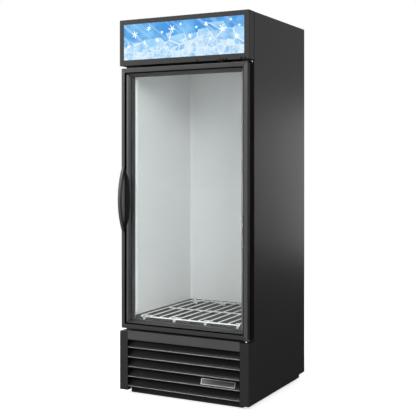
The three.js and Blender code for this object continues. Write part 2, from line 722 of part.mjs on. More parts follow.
// An angled channel with a bulging lens, screwed to the cabin's side wall.
function lightBar(side) {
  const wall = cabinHalf - seat;
  const at = (inward, back) => [side * (wall - inward), lightBarY + back];
  const section = [at(0, 0), at(3, 0), at(5, 2), at(8, 3), at(lightBarDepth - 1, 8), at(lightBarDepth, 12),
    at(lightBarDepth - 3, 17), at(3, lightBarWidth), at(0, lightBarWidth)];
  return prism(section, 'z', cabinFloor + 40, openingTop - 20);
}

const coverX = cabinHalf - 40;
const coverFront = frontWall + 34;
const coverBack = cabinRear - 12;
const coverBottom = cabinCeiling - 170;
const coverWall = 2.5;
const cabinFanZ = (coverBottom + cabinCeiling) / 2 + 2;
const cabinFanRadius = 66;

// A moulded cover: a raked front with the fan's opening, and return slots underneath.
function evaporatorCover() {
  const topZ = cabinCeiling - seat;
  const rake = 26;
  const outer = prism([[coverFront, topZ], [coverFront, coverBottom + rake], [coverFront + rake, coverBottom],
    [coverBack, coverBottom], [coverBack, topZ]], 'x', -coverX, coverX);
  const inner = prism([[coverFront + coverWall, topZ + 1], [coverFront + coverWall, coverBottom + rake + 1],
    [coverFront + rake + 1, coverBottom + coverWall], [coverBack - coverWall, coverBottom + coverWall],
    [coverBack - coverWall, topZ + 1]], 'x', -coverX + coverWall, coverX - coverWall);
  const fanOpening = rod(cabinFanRadius + 6, 'y', [0, coverFront, cabinFanZ], -5, 20, 32);
  const slots = [];
  for (let i = 0; i < 9; i++) {
    const x = -coverX + 60 + (i * 2 * (coverX - 60)) / 8;
    slots.push(block([x - 8, x + 8], [coverBack - 150, coverBack - 40], [coverBottom - 1, coverBottom + coverWall + 1]));
  }
  return cut(outer, inner, fanOpening, ...slots);
}

// Fins as a comb on both faces of a core, carried the full height.
function finnedBlock([x0, x1], [y0, y1], [z0, z1], count, finDepth) {
  const pitch = (x1 - x0) / (count - 0.5);
  const points = [];
  for (let i = 0; i < count; i++) {
    const x = x0 + i * pitch;
    points.push([x, y0], [x + pitch / 2, y0]);
    if (i < count - 1) points.push([x + pitch / 2, y0 + finDepth], [x + pitch, y0 + finDepth]);
  }
  for (let i = count - 1; i >= 0; i--) {
    const x = x0 + i * pitch;
    points.push([x + pitch / 2, y1], [x, y1]);
    if (i > 0) points.push([x, y1 - finDepth], [x - pitch / 2, y1 - finDepth]);
  }
  return prism(points, 'z', z0, z1);
}

function evaporatorCoil() {
  const inside = coverX - coverWall - 40;
  return finnedBlock([-inside, inside], [coverFront + 140, coverBack - 170],
    [coverBottom + coverWall + seat, cabinCeiling - 14], 20, 60);
}

const cabinFanY = coverFront + 24;
const cabinMotorFront = cabinFanY + 20;
const cabinMotorRadius = 24;
const cabinMotorLength = 44;

// Pitched blades swept from a hub: each is a thin plate turned about its own length.
function fanBlades(radius, hubRadius, bladeCount, chord, hubLength, pitchAngle, centre) {
  const hub = turned([[0, -hubLength / 2], [hubRadius - 4, -hubLength / 2], [hubRadius, -hubLength / 2 + 4],
    [hubRadius, hubLength / 2], [0, hubLength / 2]], 'y', [0, 0, 0], 20);
  const blades = [];
  for (let i = 0; i < bladeCount; i++) {
    const blade = new THREE.Shape();
    blade.moveTo(hubRadius - 5, -chord * 0.3);
    blade.quadraticCurveTo(radius * 0.6, -chord * 0.62, radius * 0.97, -chord * 0.46);
    blade.quadraticCurveTo(radius * 1.02, chord * 0.1, radius * 0.9, chord * 0.52);
    blade.quadraticCurveTo(radius * 0.55, chord * 0.46, hubRadius - 5, chord * 0.3);
    const plate = new THREE.ExtrudeGeometry(blade, { depth: 2, bevelEnabled: false, curveSegments: 3 });
    plate.translate(0, 0, -1);
    plate.rotateX(Math.PI / 2 + pitchAngle);
    plate.rotateY((i * Math.PI * 2) / bladeCount);
    blades.push(solidOf(plate));
  }
  return join(hub, ...blades).translate(centre);
}

function evaporatorFan() {
  return cut(fanBlades(cabinFanRadius, 20, 5, 46, 22, 0.5, [0, cabinFanY, cabinFanZ]),
    rod(fanShaft + runningFit, 'y', [0, cabinFanY, cabinFanZ], 0, 14, shaftSides));
}

const guardWire = 1.5;
const guardReach = cabinFanRadius + 12;
const guardStandOff = 8;
const guardRings = [0.3, 0.65, 1];      // shares of the outer ring's radius

// Welded rings on two crossed wires, whose ends turn back to the cover.
function evaporatorFanGuard() {
  const guardY = coverFront - guardStandOff;
  const rings = guardRings.map((share) => {
    const radius = share * (cabinFanRadius + 4);
    return turned([[radius - guardWire, 0], [radius, -guardWire], [radius + guardWire, 0], [radius, guardWire],
      [radius - guardWire, 0]], 'y', [0, guardY, cabinFanZ], 18);
  });
  const crossed = [45, 135].map((angle) => join(
    rod(guardWire, 'x', [0, guardY, 0], -guardReach, guardReach, 4),
    ...[-1, 1].map((end) => rod(guardWire, 'y', [end * (guardReach - guardWire), coverFront - seat, 0],
      -guardStandOff, 0, 4))).rotate([0, angle, 0]).translate([0, 0, cabinFanZ]));
  return join(...rings, ...crossed);
}

// A fan motor with its shaft towards the blades and arms to the plate around the opening.
function fanMotor(radius, length, frontY, fanY, centreZ, armReach, armPlane) {
  const body = turned([[0, 0], [radius - 6, 0], [radius, 6], [radius, length - 8], [radius - 8, length], [0, length]],
    'y', [0, frontY, centreZ], 20);
  const shaft = rod(fanShaft, 'y', [0, fanY, centreZ], 1, frontY - fanY + 2, shaftSides);
  const arms = [];
  for (let i = 0; i < 3; i++) {
    const angle = Math.PI / 2 + (i * Math.PI * 2) / 3;
    const spoke = block([radius - 10, armReach], [frontY + 8, frontY + 12], [-6, 6]);
    const toe = block([armReach - 4, armReach], [armPlane, frontY + 12], [-6, 6]);
    arms.push(join(spoke, toe).rotate([0, (-angle * 180) / Math.PI, 0]).translate([0, 0, centreZ]));
  }
  return join(body, shaft, ...arms);
}

// ---------------------------------------------------------------- machine compartment
const condenserX = baseHalf - 141;
const condenserFront = front + 96;
const condenserDepth = 56;
const condenserTop = deckUnder - 26;
const shroudDepth = 24;
const condenserFanRadius = 104;
const condenserFanZ = machineFloor + 134;
const shroudBack = condenserFront + condenserDepth + seat + 2;
const condenserFanY = shroudBack + shroudDepth - 6;
const condenserMotorFront = condenserFanY + 22;

function condenserCoil() {
  const core = finnedBlock([-condenserX, condenserX], [condenserFront, condenserFront + condenserDepth],
    [machineFloor, condenserTop], 26, 16);
  const bends = [];
  for (let i = 0; i < 3; i++) {
    const z = machineFloor + 50 + i * 80;
    for (const side of [-1, 1]) {
      const y = condenserFront + condenserDepth / 2;
      bends.push(tube([[side * (condenserX - 4), y, z], [side * (condenserX + 9), y, z],
        [side * (condenserX + 17), y, z + 12], [side * (condenserX + 9), y, z + 24],
        [side * (condenserX - 4), y, z + 24]], 4, 5, 6));
    }
  }
  return join(core, ...bends);
}

function condenserShroud() {
  const plateY = [shroudBack - 2, shroudBack];
  const plate = block([-condenserX, condenserX], plateY, [machineFloor, condenserTop]);
  const [inner, outer] = [condenserFanRadius + 8, condenserFanRadius + 11];
  const collar = turned([[inner, -1], [outer, -1], [outer, shroudDepth], [outer + 3, shroudDepth + 2],
    [inner, shroudDepth + 2], [inner, -1]], 'y', [0, shroudBack, condenserFanZ], 32);
  const hole = rod(inner, 'y', [0, shroudBack, condenserFanZ], -5, 5, 32);
  return join(cut(plate, hole), collar);
}

function condenserFan() {
  return cut(fanBlades(condenserFanRadius, 28, 5, 78, 26, 0.45, [0, condenserFanY, condenserFanZ]),
    rod(fanShaft + runningFit, 'y', [0, condenserFanY, condenserFanZ], 0, 16, shaftSides));
}

function condenserMotor() {
  const radius = 44;
  const length = 60;
  const body = turned([[0, 0], [radius - 8, 0], [radius, 8], [radius, length - 10], [radius - 10, length],
    [0, length]], 'y', [0, condenserMotorFront, condenserFanZ], 24);
  const shaft = rod(fanShaft, 'y', [0, condenserFanY, condenserFanZ], 1, condenserMotorFront - condenserFanY + 2,
    shaftSides);
  const [y0, y1] = [condenserMotorFront + 18, condenserMotorFront + 42];
  const stand = prism([[-34, machineFloor], [34, machineFloor], [34, machineFloor + 4], [20, machineFloor + 4],
    [20, condenserFanZ - 20], [-20, condenserFanZ - 20], [-20, machineFloor + 4], [-34, machineFloor + 4]],
  'y', y0, y1);
  return join(body, shaft, stand);
}

const compressorX = baseHalf - 131;
const compressorY = rear - 250;
const compressorRadius = 80;
const compressorTop = machineFloor + 208;
const stubRadius = 6.5;
const stubReach = compressorRadius + 12;
const suctionY = compressorY + 30;
const suctionZ = machineFloor + 80;

// A welded shell on a mounting plate with four rubber grommets, and a terminal cover.
function compressor() {
  const feetZ = machineFloor + 14;
  const shell = turned([[0, feetZ + 6], [54, feetZ + 8], [74, feetZ + 26], [compressorRadius, feetZ + 54],
    [compressorRadius, feetZ + 92], [compressorRadius + 3, feetZ + 94], [compressorRadius + 3, feetZ + 100],
    [compressorRadius - 1, feetZ + 102], [compressorRadius - 3, feetZ + 140], [66, feetZ + 172],
    [40, compressorTop - 4], [0, compressorTop]], 'z', [compressorX, compressorY, 0], 16);
  const plate = prism(roundedRect([compressorX - 100, compressorX + 100], [compressorY - 66, compressorY + 66], 16),
    'z', feetZ, feetZ + 9);
  const feet = [-1, 1].flatMap((a) => [-1, 1].map((b) => turned([[0, machineFloor], [13, machineFloor],
    [9, machineFloor + 8], [13, feetZ + 1], [0, feetZ + 1]], 'z',
  [compressorX + a * 82, compressorY + b * 50, 0], 8)));
  const cover = block([compressorX - 30, compressorX + 30],
    [compressorY - compressorRadius - 26, compressorY - compressorRadius + 12], [feetZ + 60, feetZ + 130]);
  const crown = rod(stubRadius, 'z', [compressorX - 20, compressorY - 20, compressorTop], -12, 4, 12);
  const side = rod(stubRadius, 'x', [compressorX, suctionY, suctionZ], -stubReach, -60, 12);
  return join(shell, plate, ...feet, cover, crown, side);
}

const controlBoxX = [-baseHalf + 11, -baseHalf + 113];
const controlBoxY = [front + 84, front + 214];
const controlBoxTop = machineFloor + 190;
const knobX = controlBoxX[0] + 50;
const knobZ = machineFloor + 140;
const knobRadius = 17;

function controlBox() {
  const body = block(controlBoxX, controlBoxY, [machineFloor, controlBoxTop]);
  const lid = block([controlBoxX[0] + 4, controlBoxX[1] - 4], [controlBoxY[0] - 3, controlBoxY[0] + 1],
    [machineFloor + 8, controlBoxTop - 8]);
  const shaftHole = rod(dialShaft + runningFit, 'y', [knobX, controlBoxY[0], knobZ], -10, 16, shaftSides);
  return cut(join(body, lid), shaftHole);
}

// A fluted dial with a pointer ridge and its shaft.
function thermostatKnob() {
  const back = controlBoxY[0] - 3 - seat;
  const body = turned([[0, -16], [knobRadius - 4, -16], [knobRadius - 2.5, -14], [knobRadius, 0], [0, 0]], 'y',
    [knobX, back, knobZ], 18);
  const ridge = block([knobX - 2, knobX + 2], [back - 18, back - 12], [knobZ - 2, knobZ + knobRadius - 4]);
  const shaft = rod(dialShaft, 'y', [knobX, back, knobZ], -1, 14, shaftSides);
  return join(body, ridge, shaft);
}

// An open tray with tapered walls, where melt water dries off.
function condensatePan() {
  const [x0, x1] = [-baseHalf + 11, compressorX - 270];
  const [y0, y1] = [rear - 330, rear - 60];
  const [z0, z1] = [machineFloor, machineFloor + 52];
  const tray = (inset, bottom) => {
    const flare = 8;
    const corner = (sx, sy, spread) => [sx > 0 ? x1 - inset + spread - flare : x0 + inset - spread + flare,
      sy > 0 ? y1 - inset + spread - flare : y0 + inset - spread + flare];
    const level = (spread, z) => [[-1, -1], [1, -1], [1, 1], [-1, 1]].map(([sx, sy]) => [...corner(sx, sy, spread), z]);
    const square = [[0, 0], [1, 0], [1, 1], [0, 1]];
    return loft([level(0, bottom), level(flare, z1 + (inset > 0 ? 0.5 : 0))], square, false);
  };
  return cut(tray(0, z0), tray(2.5, z0 + 2.5));
}

const drierY = rear - 380;
const drierX = compressorX - 240;

function filterDrier() {
  const z = machineFloor + 40;
  const body = turned([[0, -66], [4, -66], [4, -52], [17, -42], [17, 42], [4, 52], [4, 66], [0, 66]], 'y',
    [drierX, drierY, z], 18);
  const clip = prism([[drierX - 20, machineFloor], [drierX + 20, machineFloor], [drierX + 20, machineFloor + 2],
    [drierX + 4, machineFloor + 3], [drierX + 4, z - 12], [drierX - 4, z - 12], [drierX - 4, machineFloor + 3],
    [drierX - 20, machineFloor + 2]], 'y', drierY - 12, drierY + 12);
  return join(body, clip);
}

const lineRadius = 5;

// From the compressor's crown to the top of the condenser.
function dischargeLine() {
  const start = [compressorX - 20, compressorY - 20, compressorTop + 4 + seat];
  const end = [condenserX - 12, condenserFront + condenserDepth / 2, condenserTop + seat];
  const level = deckUnder - 14;
  return tube([start, [start[0], start[1], start[2] + 30], [start[0] + 6, start[1] - 30, start[2] + 62],
    [condenserX + 20, end[1] + 170, level], [condenserX + 4, end[1] + 60, level], [end[0], end[1] + 22, level],
    [end[0], end[1], end[2] + 8], end], lineRadius, 26);
}

// From the compressor's side up into the insulated floor.
function suctionLine() {
  const start = compressorX - stubReach - seat;
  return tube([[start, suctionY, suctionZ], [start - 20, suctionY, suctionZ], [start - 40, suctionY + 4, suctionZ + 40],
    [start - 42, suctionY + 6, deckUnder - 60], [start - 42, suctionY + 6, deckUnder - seat]], lineRadius, 16);
}

// ---------------------------------------------------------------- kick panel
const postTop = kickTop - postDrop;

// A folded post: face, outer side flush with the cabinet, inner return and a top cap.
function kickPost(side) {
  const [inner, outer] = [baseHalf, halfWidth];
  const span = (a, b) => [Math.min(side * a, side * b), Math.max(side * a, side * b)];
  const y1 = face - seat;
  const shape = roundedRect(span(inner, outer), [front, y1 + 10], 2.5);
  const solid = prism(shape, 'z', skirtBottom, postTop).intersect(
    block(span(inner - 1, outer + 1), [front - 1, y1], [skirtBottom, postTop]));
  const hollow = block(span(inner + sheet, outer - sheet), [front + sheet, y1 + 1], [skirtBottom - 1, postTop - sheet]);
  const innerBack = block(span(inner - 1, inner + sheet + 1), [front + baseRecess - seat, y1 + 1],
    [skirtBottom - 1, postTop + 1]);
  const bracketSlot = block([bracketX0 - 2, bracketX1 + 2], [legBack - bracketLeg - 2, y1 + 1],
    [postTop - sheet - 1, postTop + 1]);
  return side > 0 ? cut(solid, hollow, innerBack, bracketSlot) : cut(solid, hollow, innerBack);
}

// One louver's section: a bent blade that rolls over a rounded nose and turns back under.
function louverSection(noseZ) {
  const nose = [front + 4, noseZ - 2];
  const arc = (radius, from, to, count) => Array.from({ length: count + 1 }, (_, i) => {
    const angle = from + ((to - from) * i) / count;
    return [nose[0] + radius * Math.cos(angle), nose[1] + radius * Math.sin(angle)];
  });
  const rollFrom = THREE.MathUtils.degToRad(90) + bladeBend * 0.65;
  const rollTo = THREE.MathUtils.degToRad(268);
  const bladeRadius = (louverPitch * bladeShare) / Math.sin(bladeBend);
  const root = arc(noseRadius, rollFrom, rollTo, 6)[0];
  const steps = 6;
  const blade = (thickness) => Array.from({ length: steps }, (_, i) => {
    const turn = (bladeBend * i) / steps;
    return [root[0] + bladeRadius * (Math.cos(turn) - Math.cos(bladeBend)) + thickness,
      root[1] + bladeRadius * (Math.sin(bladeBend) - Math.sin(turn))];
  });
  return [...blade(0), ...arc(noseRadius, rollFrom, rollTo, 6), [nose[0] + noseTuck, nose[1] - noseRadius + 0.2],
    [nose[0] + noseTuck, nose[1] - noseRadius + sheet + 0.2], ...arc(noseRadius - sheet, rollTo, rollFrom, 4),
    ...blade(sheet).reverse()];
}

function kickGrille() {
  const half = baseHalf - seat;
  const bandBottom = kickTop - bandHeight;
  const band = join(
    block([-half, half], [front, front + sheet], [bandBottom, kickTop]),
    block([-half, half], [front, legBack - bracketLeg - 3], [kickTop - sheet, kickTop]),
    block([-half, half], [front, front + 14], [bandBottom, bandBottom + sheet]));
  const bottomNose = kickTop - firstNoseDrop - (louverCount - 1) * louverPitch;
  const cheeks = [-1, 1].map((side) => block(
    [Math.min(side * half, side * (half - sheet)), Math.max(side * half, side * (half - sheet))],
    [front + 1, front + baseRecess - 3], [bottomNose - 6, kickTop]));
  const ribs = [-110, 110].map((x) => block([x - 2, x + 2], [front + 20, front + 33], [bottomNose + 6, bandBottom]));
  const louvers = [];
  for (let i = 0; i < louverCount; i++) {
    louvers.push(prism(louverSection(kickTop - firstNoseDrop - i * louverPitch), 'x', -half, half));
  }
  const ribTie = block([-half, half], [front + 22, front + 34], [bandBottom - 1, bandBottom + sheet]);
  return join(band, ...cheeks, ...ribs, ribTie, block([-half, half], [front + 10, front + 24],
    [bandBottom, bandBottom + sheet]), ...louvers);
}

// ---------------------------------------------------------------- assembly
place('cabinet_wrap', cabinetWrap(), blackPaint());
place('face_frame', faceFrame(), blackPlastic());
place('insulation', insulation(), finish(0xe8dcb0, 0.9, 0));
place('machine_deck', machineDeck(), zinc());
place('cabin_liner', cabinLiner(), whiteLining());
place('rear_panel', rearPanel(), blackPaint());
place('rear_vent', rearVent(), blackPaint());
place('cord_gland', cordGland(), blackPlastic());
place('base_frame', baseFrame(), blackPaint());
place('glide_front_left', glide(-glideX, glideFrontY), blackPlastic());
place('glide_front_right', glide(glideX, glideFrontY), blackPlastic());
place('glide_rear_left', glide(-glideX, glideRearY), blackPlastic());
place('glide_rear_right', glide(glideX, glideRearY), blackPlastic());

place('header_frame', headerFrame(), blackPaint());
place('header_box', headerBox(), blackPaint());
place('sign_panel', signPanel(), finish(0x6cb4ee, 0.3, 0));
place('sign_retainer', signRetainer(), zinc());
place('lamp_tray', lampTray(), whiteLining());
place('lamp_tube', lampTube(), finish(0xffffff, 0.3, 0));
place('lamp_holder_left', lampHolder(-1), whiteLining());
place('lamp_holder_right', lampHolder(1), whiteLining());
place('switch_bezel', switchBezel(), blackPlastic());
place('switch_rocker', switchRocker(), whiteLining());

place('hinge_bracket_top', upperBracket(), zinc());
place('hinge_bracket_bottom', lowerBracket(), zinc());
place('hinge_thrust_washer', thrustWasher(), finish(0xf2f2ee, 0.35, 0));

place('door_rail_bottom', doorMember(0), blackAluminium());
place('door_stile_right', doorMember(1), blackAluminium());
place('door_rail_top', doorMember(2), blackAluminium());
place('door_stile_left', doorMember(3), blackAluminium());
place('door_glass_outer', pane(outerPaneY), clearGlass());
place('door_glass_spacer', glassSpacer(), finish(0x222426, 0.5, 0.5));
place('door_glass_inner', pane(innerPaneY), clearGlass());
place('door_glass_retainer', glassRetainer(), blackPlastic());
place('door_gasket', doorGasket(), finish(0x121214, 0.7, 0));
place('handle_grip', handleGrip(), blackPlastic());
place('handle_base', handleBase(), blackPlastic());

place('cabin_floor_pan', cabinFloorPan(), finish(0x9a9c9e, 0.35, 0.9));
place('floor_rack', floorRack(), whiteLining());
place('light_bar_left', lightBar(-1), finish(0xf4f8ff, 0.3, 0));
place('light_bar_right', lightBar(1), finish(0xf4f8ff, 0.3, 0));
place('evaporator_cover', evaporatorCover(), whiteLining());
place('evaporator_coil', evaporatorCoil(), finish(0xc4c8ca, 0.35, 0.9));
place('evaporator_fan', evaporatorFan(), blackPlastic());
place('evaporator_fan_guard', evaporatorFanGuard(), zinc());
place('evaporator_fan_motor', fanMotor(cabinMotorRadius, cabinMotorLength, cabinMotorFront, cabinFanY, cabinFanZ,
  cabinFanRadius + 14, coverFront + coverWall + seat), zinc());

place('condenser_coil', condenserCoil(), finish(0x3a3c3e, 0.5, 0.7));
place('condenser_shroud', condenserShroud(), zinc());
place('condenser_fan', condenserFan(), finish(0x6f7376, 0.4, 0.8));
place('condenser_fan_motor', condenserMotor(), finish(0x303234, 0.5, 0.6));
place('compressor', compressor(), finish(0x1c1d1f, 0.4, 0.4));
place('control_box', controlBox(), zinc());
place('thermostat_knob', thermostatKnob(), blackPlastic());
place('condensate_pan', condensatePan(), finish(0x2a2c2e, 0.5, 0));
place('filter_drier', filterDrier(), finish(0xb8703c, 0.35, 0.9));
place('discharge_line', dischargeLine(), finish(0xb8703c, 0.3, 1));
place('suction_line', suctionLine(), finish(0x1d1d1f, 0.9, 0));

place('kick_post_left', kickPost(-1), blackPaint());
place('kick_post_right', kickPost(1), blackPaint());
place('kick_grille', kickGrille(), blackPaint());

export default merchandiser;
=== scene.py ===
# %% [markdown]
# # Dressing a glass-door ice merchandiser
# The cabinet, its door and the machinery arrive as finished solids, and this
# script gives them their looks: enamel, powder coat, anodised aluminium, rubber,
# glass, a back-lit sign, and the small trim that metalwork needs. All sizes are
# metres. X runs to the right seen from the front, Y goes back, and Z is up.

# %% Load the solids
import json
import math

import bmesh
import bpy
from mathutils import Matrix, Vector

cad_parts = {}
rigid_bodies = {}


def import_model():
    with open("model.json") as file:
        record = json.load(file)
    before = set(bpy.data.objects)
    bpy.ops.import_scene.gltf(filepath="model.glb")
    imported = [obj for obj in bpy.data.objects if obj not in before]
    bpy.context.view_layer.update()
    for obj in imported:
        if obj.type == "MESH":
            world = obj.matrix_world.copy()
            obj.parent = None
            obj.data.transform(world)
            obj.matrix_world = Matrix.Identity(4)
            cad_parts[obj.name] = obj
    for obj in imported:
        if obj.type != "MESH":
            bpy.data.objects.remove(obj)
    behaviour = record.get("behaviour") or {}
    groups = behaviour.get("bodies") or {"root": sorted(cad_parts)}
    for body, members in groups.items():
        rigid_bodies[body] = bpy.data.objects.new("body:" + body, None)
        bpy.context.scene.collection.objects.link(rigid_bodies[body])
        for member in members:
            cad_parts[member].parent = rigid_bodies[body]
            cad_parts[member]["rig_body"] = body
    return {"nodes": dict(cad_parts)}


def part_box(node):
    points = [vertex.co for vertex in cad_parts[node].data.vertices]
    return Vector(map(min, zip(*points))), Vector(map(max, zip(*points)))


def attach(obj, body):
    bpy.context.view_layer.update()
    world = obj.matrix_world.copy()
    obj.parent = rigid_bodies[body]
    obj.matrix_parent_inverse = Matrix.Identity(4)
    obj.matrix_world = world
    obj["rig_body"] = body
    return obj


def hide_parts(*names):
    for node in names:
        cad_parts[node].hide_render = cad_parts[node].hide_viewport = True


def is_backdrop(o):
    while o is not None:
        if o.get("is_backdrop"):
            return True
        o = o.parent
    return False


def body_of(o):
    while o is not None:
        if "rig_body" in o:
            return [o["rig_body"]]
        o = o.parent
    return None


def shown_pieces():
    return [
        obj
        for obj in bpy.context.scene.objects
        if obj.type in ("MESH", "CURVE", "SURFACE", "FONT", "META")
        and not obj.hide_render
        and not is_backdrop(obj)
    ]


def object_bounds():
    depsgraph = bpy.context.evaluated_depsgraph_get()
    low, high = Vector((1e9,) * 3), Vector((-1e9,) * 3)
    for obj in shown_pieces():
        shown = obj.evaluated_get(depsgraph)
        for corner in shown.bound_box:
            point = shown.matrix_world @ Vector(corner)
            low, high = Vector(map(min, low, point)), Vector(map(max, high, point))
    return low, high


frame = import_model()
nodes = frame["nodes"]
solid_box = [list(corner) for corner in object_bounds()]
print(len(nodes), "solids, from", solid_box[0], "to", solid_box[1])

# %% [markdown]
# ## Camera
# A product picture of a tall cabinet is taken from eye height with a long lens, so
# that the upright edges stay parallel. The camera stays level and the lens is
# shifted down instead of tilting it, as on a view camera: that keeps the verticals.

# %% Camera
bpy.ops.object.camera_add(location=(2.192, -4.252, 1.245),
                          rotation=(math.radians(90), 0, math.radians(27.63)))
camera = bpy.context.object
camera.data.lens = 75.0
camera.data.sensor_width = 36.0
camera.data.shift_y = -0.113
bpy.context.scene.camera = camera
bpy.context.scene.view_settings.view_transform = "Standard"
print("lens", camera.data.lens, "mm")

# %% [markdown]
# ## Studio
# Black satin paint has little colour of its own, so what it mirrors does most of
# the work. Big soft lamps give the front a calm tone, and a tall soft lamp behind
# the right side draws the bright streak down the side panel. The floor is pale and
# keeps the shadow. The surroundings are white for the camera and for every ray that
# has come through glass, and an even grey for all other light and for gloss.

# %% Floor
FLOOR_REACH = 60.0
FLOOR_GLOW = 0.74       # with the lamps' light, this makes the floor white
CARD_GREY = 0.095


def plain_material(name, colour, roughness):
    """A material with one Principled shader; returns it with its tree and shader."""
    made = bpy.data.materials.new(name)
    made.use_nodes = True
    shader = made.node_tree.nodes["Principled BSDF"]
    shader.inputs["Base Color"].default_value = (*colour, 1)
    shader.inputs["Roughness"].default_value = roughness
    return made, made.node_tree, shader


def sight(tree):
    """Light Path, and a socket that is 1 for camera rays and for rays through glass."""
    path = tree.nodes.new("ShaderNodeLightPath")
    straight = tree.nodes.new("ShaderNodeMath")
    straight.operation = "MAXIMUM"
    tree.links.new(path.outputs["Is Camera Ray"], straight.inputs[0])
    tree.links.new(path.outputs["Is Transmission Ray"], straight.inputs[1])
    return path, straight.outputs[0]


def choose(tree, factor, lighting, seen, surface):
    """Mixes the shader that only lights with the one that is seen, by a socket."""
    mix = tree.nodes.new("ShaderNodeMixShader")
    tree.links.new(factor, mix.inputs[0])
    tree.links.new(lighting.outputs[0], mix.inputs[1])
    tree.links.new(seen.outputs[0], mix.inputs[2])
    tree.links.new(mix.outputs[0], surface)


def pale_floor():
    """Pale where it is seen, and a dark grey card for gloss and for the light it throws up."""
    made, tree, pale = plain_material("pale floor", (0.8, 0.8, 0.8), 0.9)
    pale.inputs["Specular IOR Level"].default_value = 0.0
    pale.inputs["Emission Color"].default_value = (1, 1, 1, 1)
    pale.inputs["Emission Strength"].default_value = FLOOR_GLOW
    card = tree.nodes.new("ShaderNodeBsdfDiffuse")
    card.inputs["Color"].default_value = (CARD_GREY, CARD_GREY, CARD_GREY, 1)
    choose(tree, sight(tree)[1], card, pale, tree.nodes["Material Output"].inputs["Surface"])
    return made


bpy.ops.mesh.primitive_plane_add(size=FLOOR_REACH)
floor = bpy.context.object
floor.name = "studio_floor"
floor.data.materials.append(pale_floor())
floor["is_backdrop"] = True
print("floor", FLOOR_REACH, "m across")

# %% World and lamps
AMBIENT = 0.33
GLOSS_WALL = 0.0        # how much of the white gloss sees at eye level: none
GLOSS_CEILING = 0.0     # and overhead: none


def studio_world():
    """White for the camera and through glass, and an even grey for other light and gloss.

    The share of white for gloss is zero, but its nodes stay. They make the world depend
    on direction, and Cycles then samples it in another way. Without them the cabin
    behind the glass renders a few levels lighter.
    """
    world = bpy.data.worlds.new("studio")
    bpy.context.scene.world = world
    world.use_nodes = True
    tree = world.node_tree
    soft, white = tree.nodes["Background"], tree.nodes.new("ShaderNodeBackground")
    for background, strength in ((soft, AMBIENT), (white, 1.0)):
        background.inputs["Color"].default_value = (1, 1, 1, 1)
        background.inputs["Strength"].default_value = strength
    path, straight = sight(tree)
    direction = tree.nodes.new("ShaderNodeTexCoord")
    split = tree.nodes.new("ShaderNodeSeparateXYZ")
    tree.links.new(direction.outputs["Generated"], split.inputs[0])
    wall = tree.nodes.new("ShaderNodeMapRange")
    tree.links.new(split.outputs["Z"], wall.inputs["Value"])
    for label, value in (("From Min", 0.05), ("From Max", 0.4), ("To Min", GLOSS_WALL),
                         ("To Max", GLOSS_CEILING)):
        wall.inputs[label].default_value = value
    shine = tree.nodes.new("ShaderNodeMath")
    shine.operation = "MULTIPLY_ADD"
    shine.use_clamp = True
    for slot, socket in zip(shine.inputs, (path.outputs["Is Glossy Ray"],
                                           wall.outputs["Result"], straight)):
        tree.links.new(socket, slot)
    choose(tree, shine.outputs[0], soft, white, tree.nodes["World Output"].inputs["Surface"])


def soft_lamp(name, place, target, width, height, watts):
    """A rectangular soft box at a place, turned towards a target."""
    bpy.ops.object.light_add(type="AREA", location=place)
    lamp = bpy.context.object
    lamp.name = name
    lamp.data.shape = "RECTANGLE"
    lamp.data.size, lamp.data.size_y = width, height
    lamp.data.energy = watts
    aim = Vector(target) - Vector(place)
    lamp.rotation_euler = aim.to_track_quat("-Z", "Y").to_euler()
    lamp.visible_camera = False


studio_world()
soft_lamp("key", (-4.8, -3.2, 2.6), (0, 0, 1.0), 2.2, 2.2, 92)
soft_lamp("front_right", (3.6, -4.6, 3.2), (0, 0, 1.0), 1.6, 1.6, 105)
soft_lamp("low_left", (-5.0, -2.4, 0.8), (0, 0, 0.6), 1.6, 1.2, 75)
soft_lamp("overhead", (-0.7, -1.9, 3.5), (0, -0.3, 0.8), 2.4, 0.7, 44)
soft_lamp("high_left", (-1.9, -0.8, 3.6), (-0.1, -0.4, 0.2), 1.2, 0.5, 30)
soft_lamp("side_streak", (1.42, 4.2, 1.02), (0.38, 0.3, 1.1), 0.35, 1.5, 7.2)
print("world at", AMBIENT, "and six soft boxes")

# %% [markdown]
# ## Shared effects
# The same things happen to nearly every surface of a shop cabinet: the finish has a
# fine grain or brushed lines, hands and cloths leave it unevenly glossy, edges catch
# the light, and dust settles low down. Each is one node group with named sockets,
# built once and given its own values in each material.

# %% Effect groups
def effect_group(name, inputs, outputs):
    """An empty shader group with named number sockets: its tree, inlets and outlets."""
    tree = bpy.data.node_groups.new(name, "ShaderNodeTree")
    for label, value in inputs.items():
        socket = tree.interface.new_socket(label, in_out="INPUT", socket_type="NodeSocketFloat")
        socket.default_value = value
    for label in outputs:
        tree.interface.new_socket(label, in_out="OUTPUT", socket_type="NodeSocketFloat")
    return tree, tree.nodes.new("NodeGroupInput"), tree.nodes.new("NodeGroupOutput")


def math_node(tree, operation, first, second):
    """A Math node whose inputs are sockets or numbers; returns its output."""
    made = tree.nodes.new("ShaderNodeMath")
    made.operation = operation
    for slot, value in zip(made.inputs, (first, second)):
        if isinstance(value, (int, float)):
            slot.default_value = value
        else:
            tree.links.new(value, slot)
    return made.outputs[0]


def remap(tree, value, low, high, to_low, to_high):
    """A Map Range node on a socket; the limits are sockets or numbers."""
    made = tree.nodes.new("ShaderNodeMapRange")
    tree.links.new(value, made.inputs["Value"])
    labels = ("From Min", "From Max", "To Min", "To Max")
    for label, limit in zip(labels, (low, high, to_low, to_high)):
        if isinstance(limit, (int, float)):
            made.inputs[label].default_value = limit
        else:
            tree.links.new(limit, made.inputs[label])
    return made.outputs["Result"]


def by_axis(tree, vector):
    """Splits a vector socket into X, Y and Z; returns the outputs."""
    made = tree.nodes.new("ShaderNodeSeparateXYZ")
    tree.links.new(vector, made.inputs[0])
    return made.outputs


def object_place(tree):
    """The Object coordinates of the surface."""
    return tree.nodes.new("ShaderNodeTexCoord").outputs["Object"]


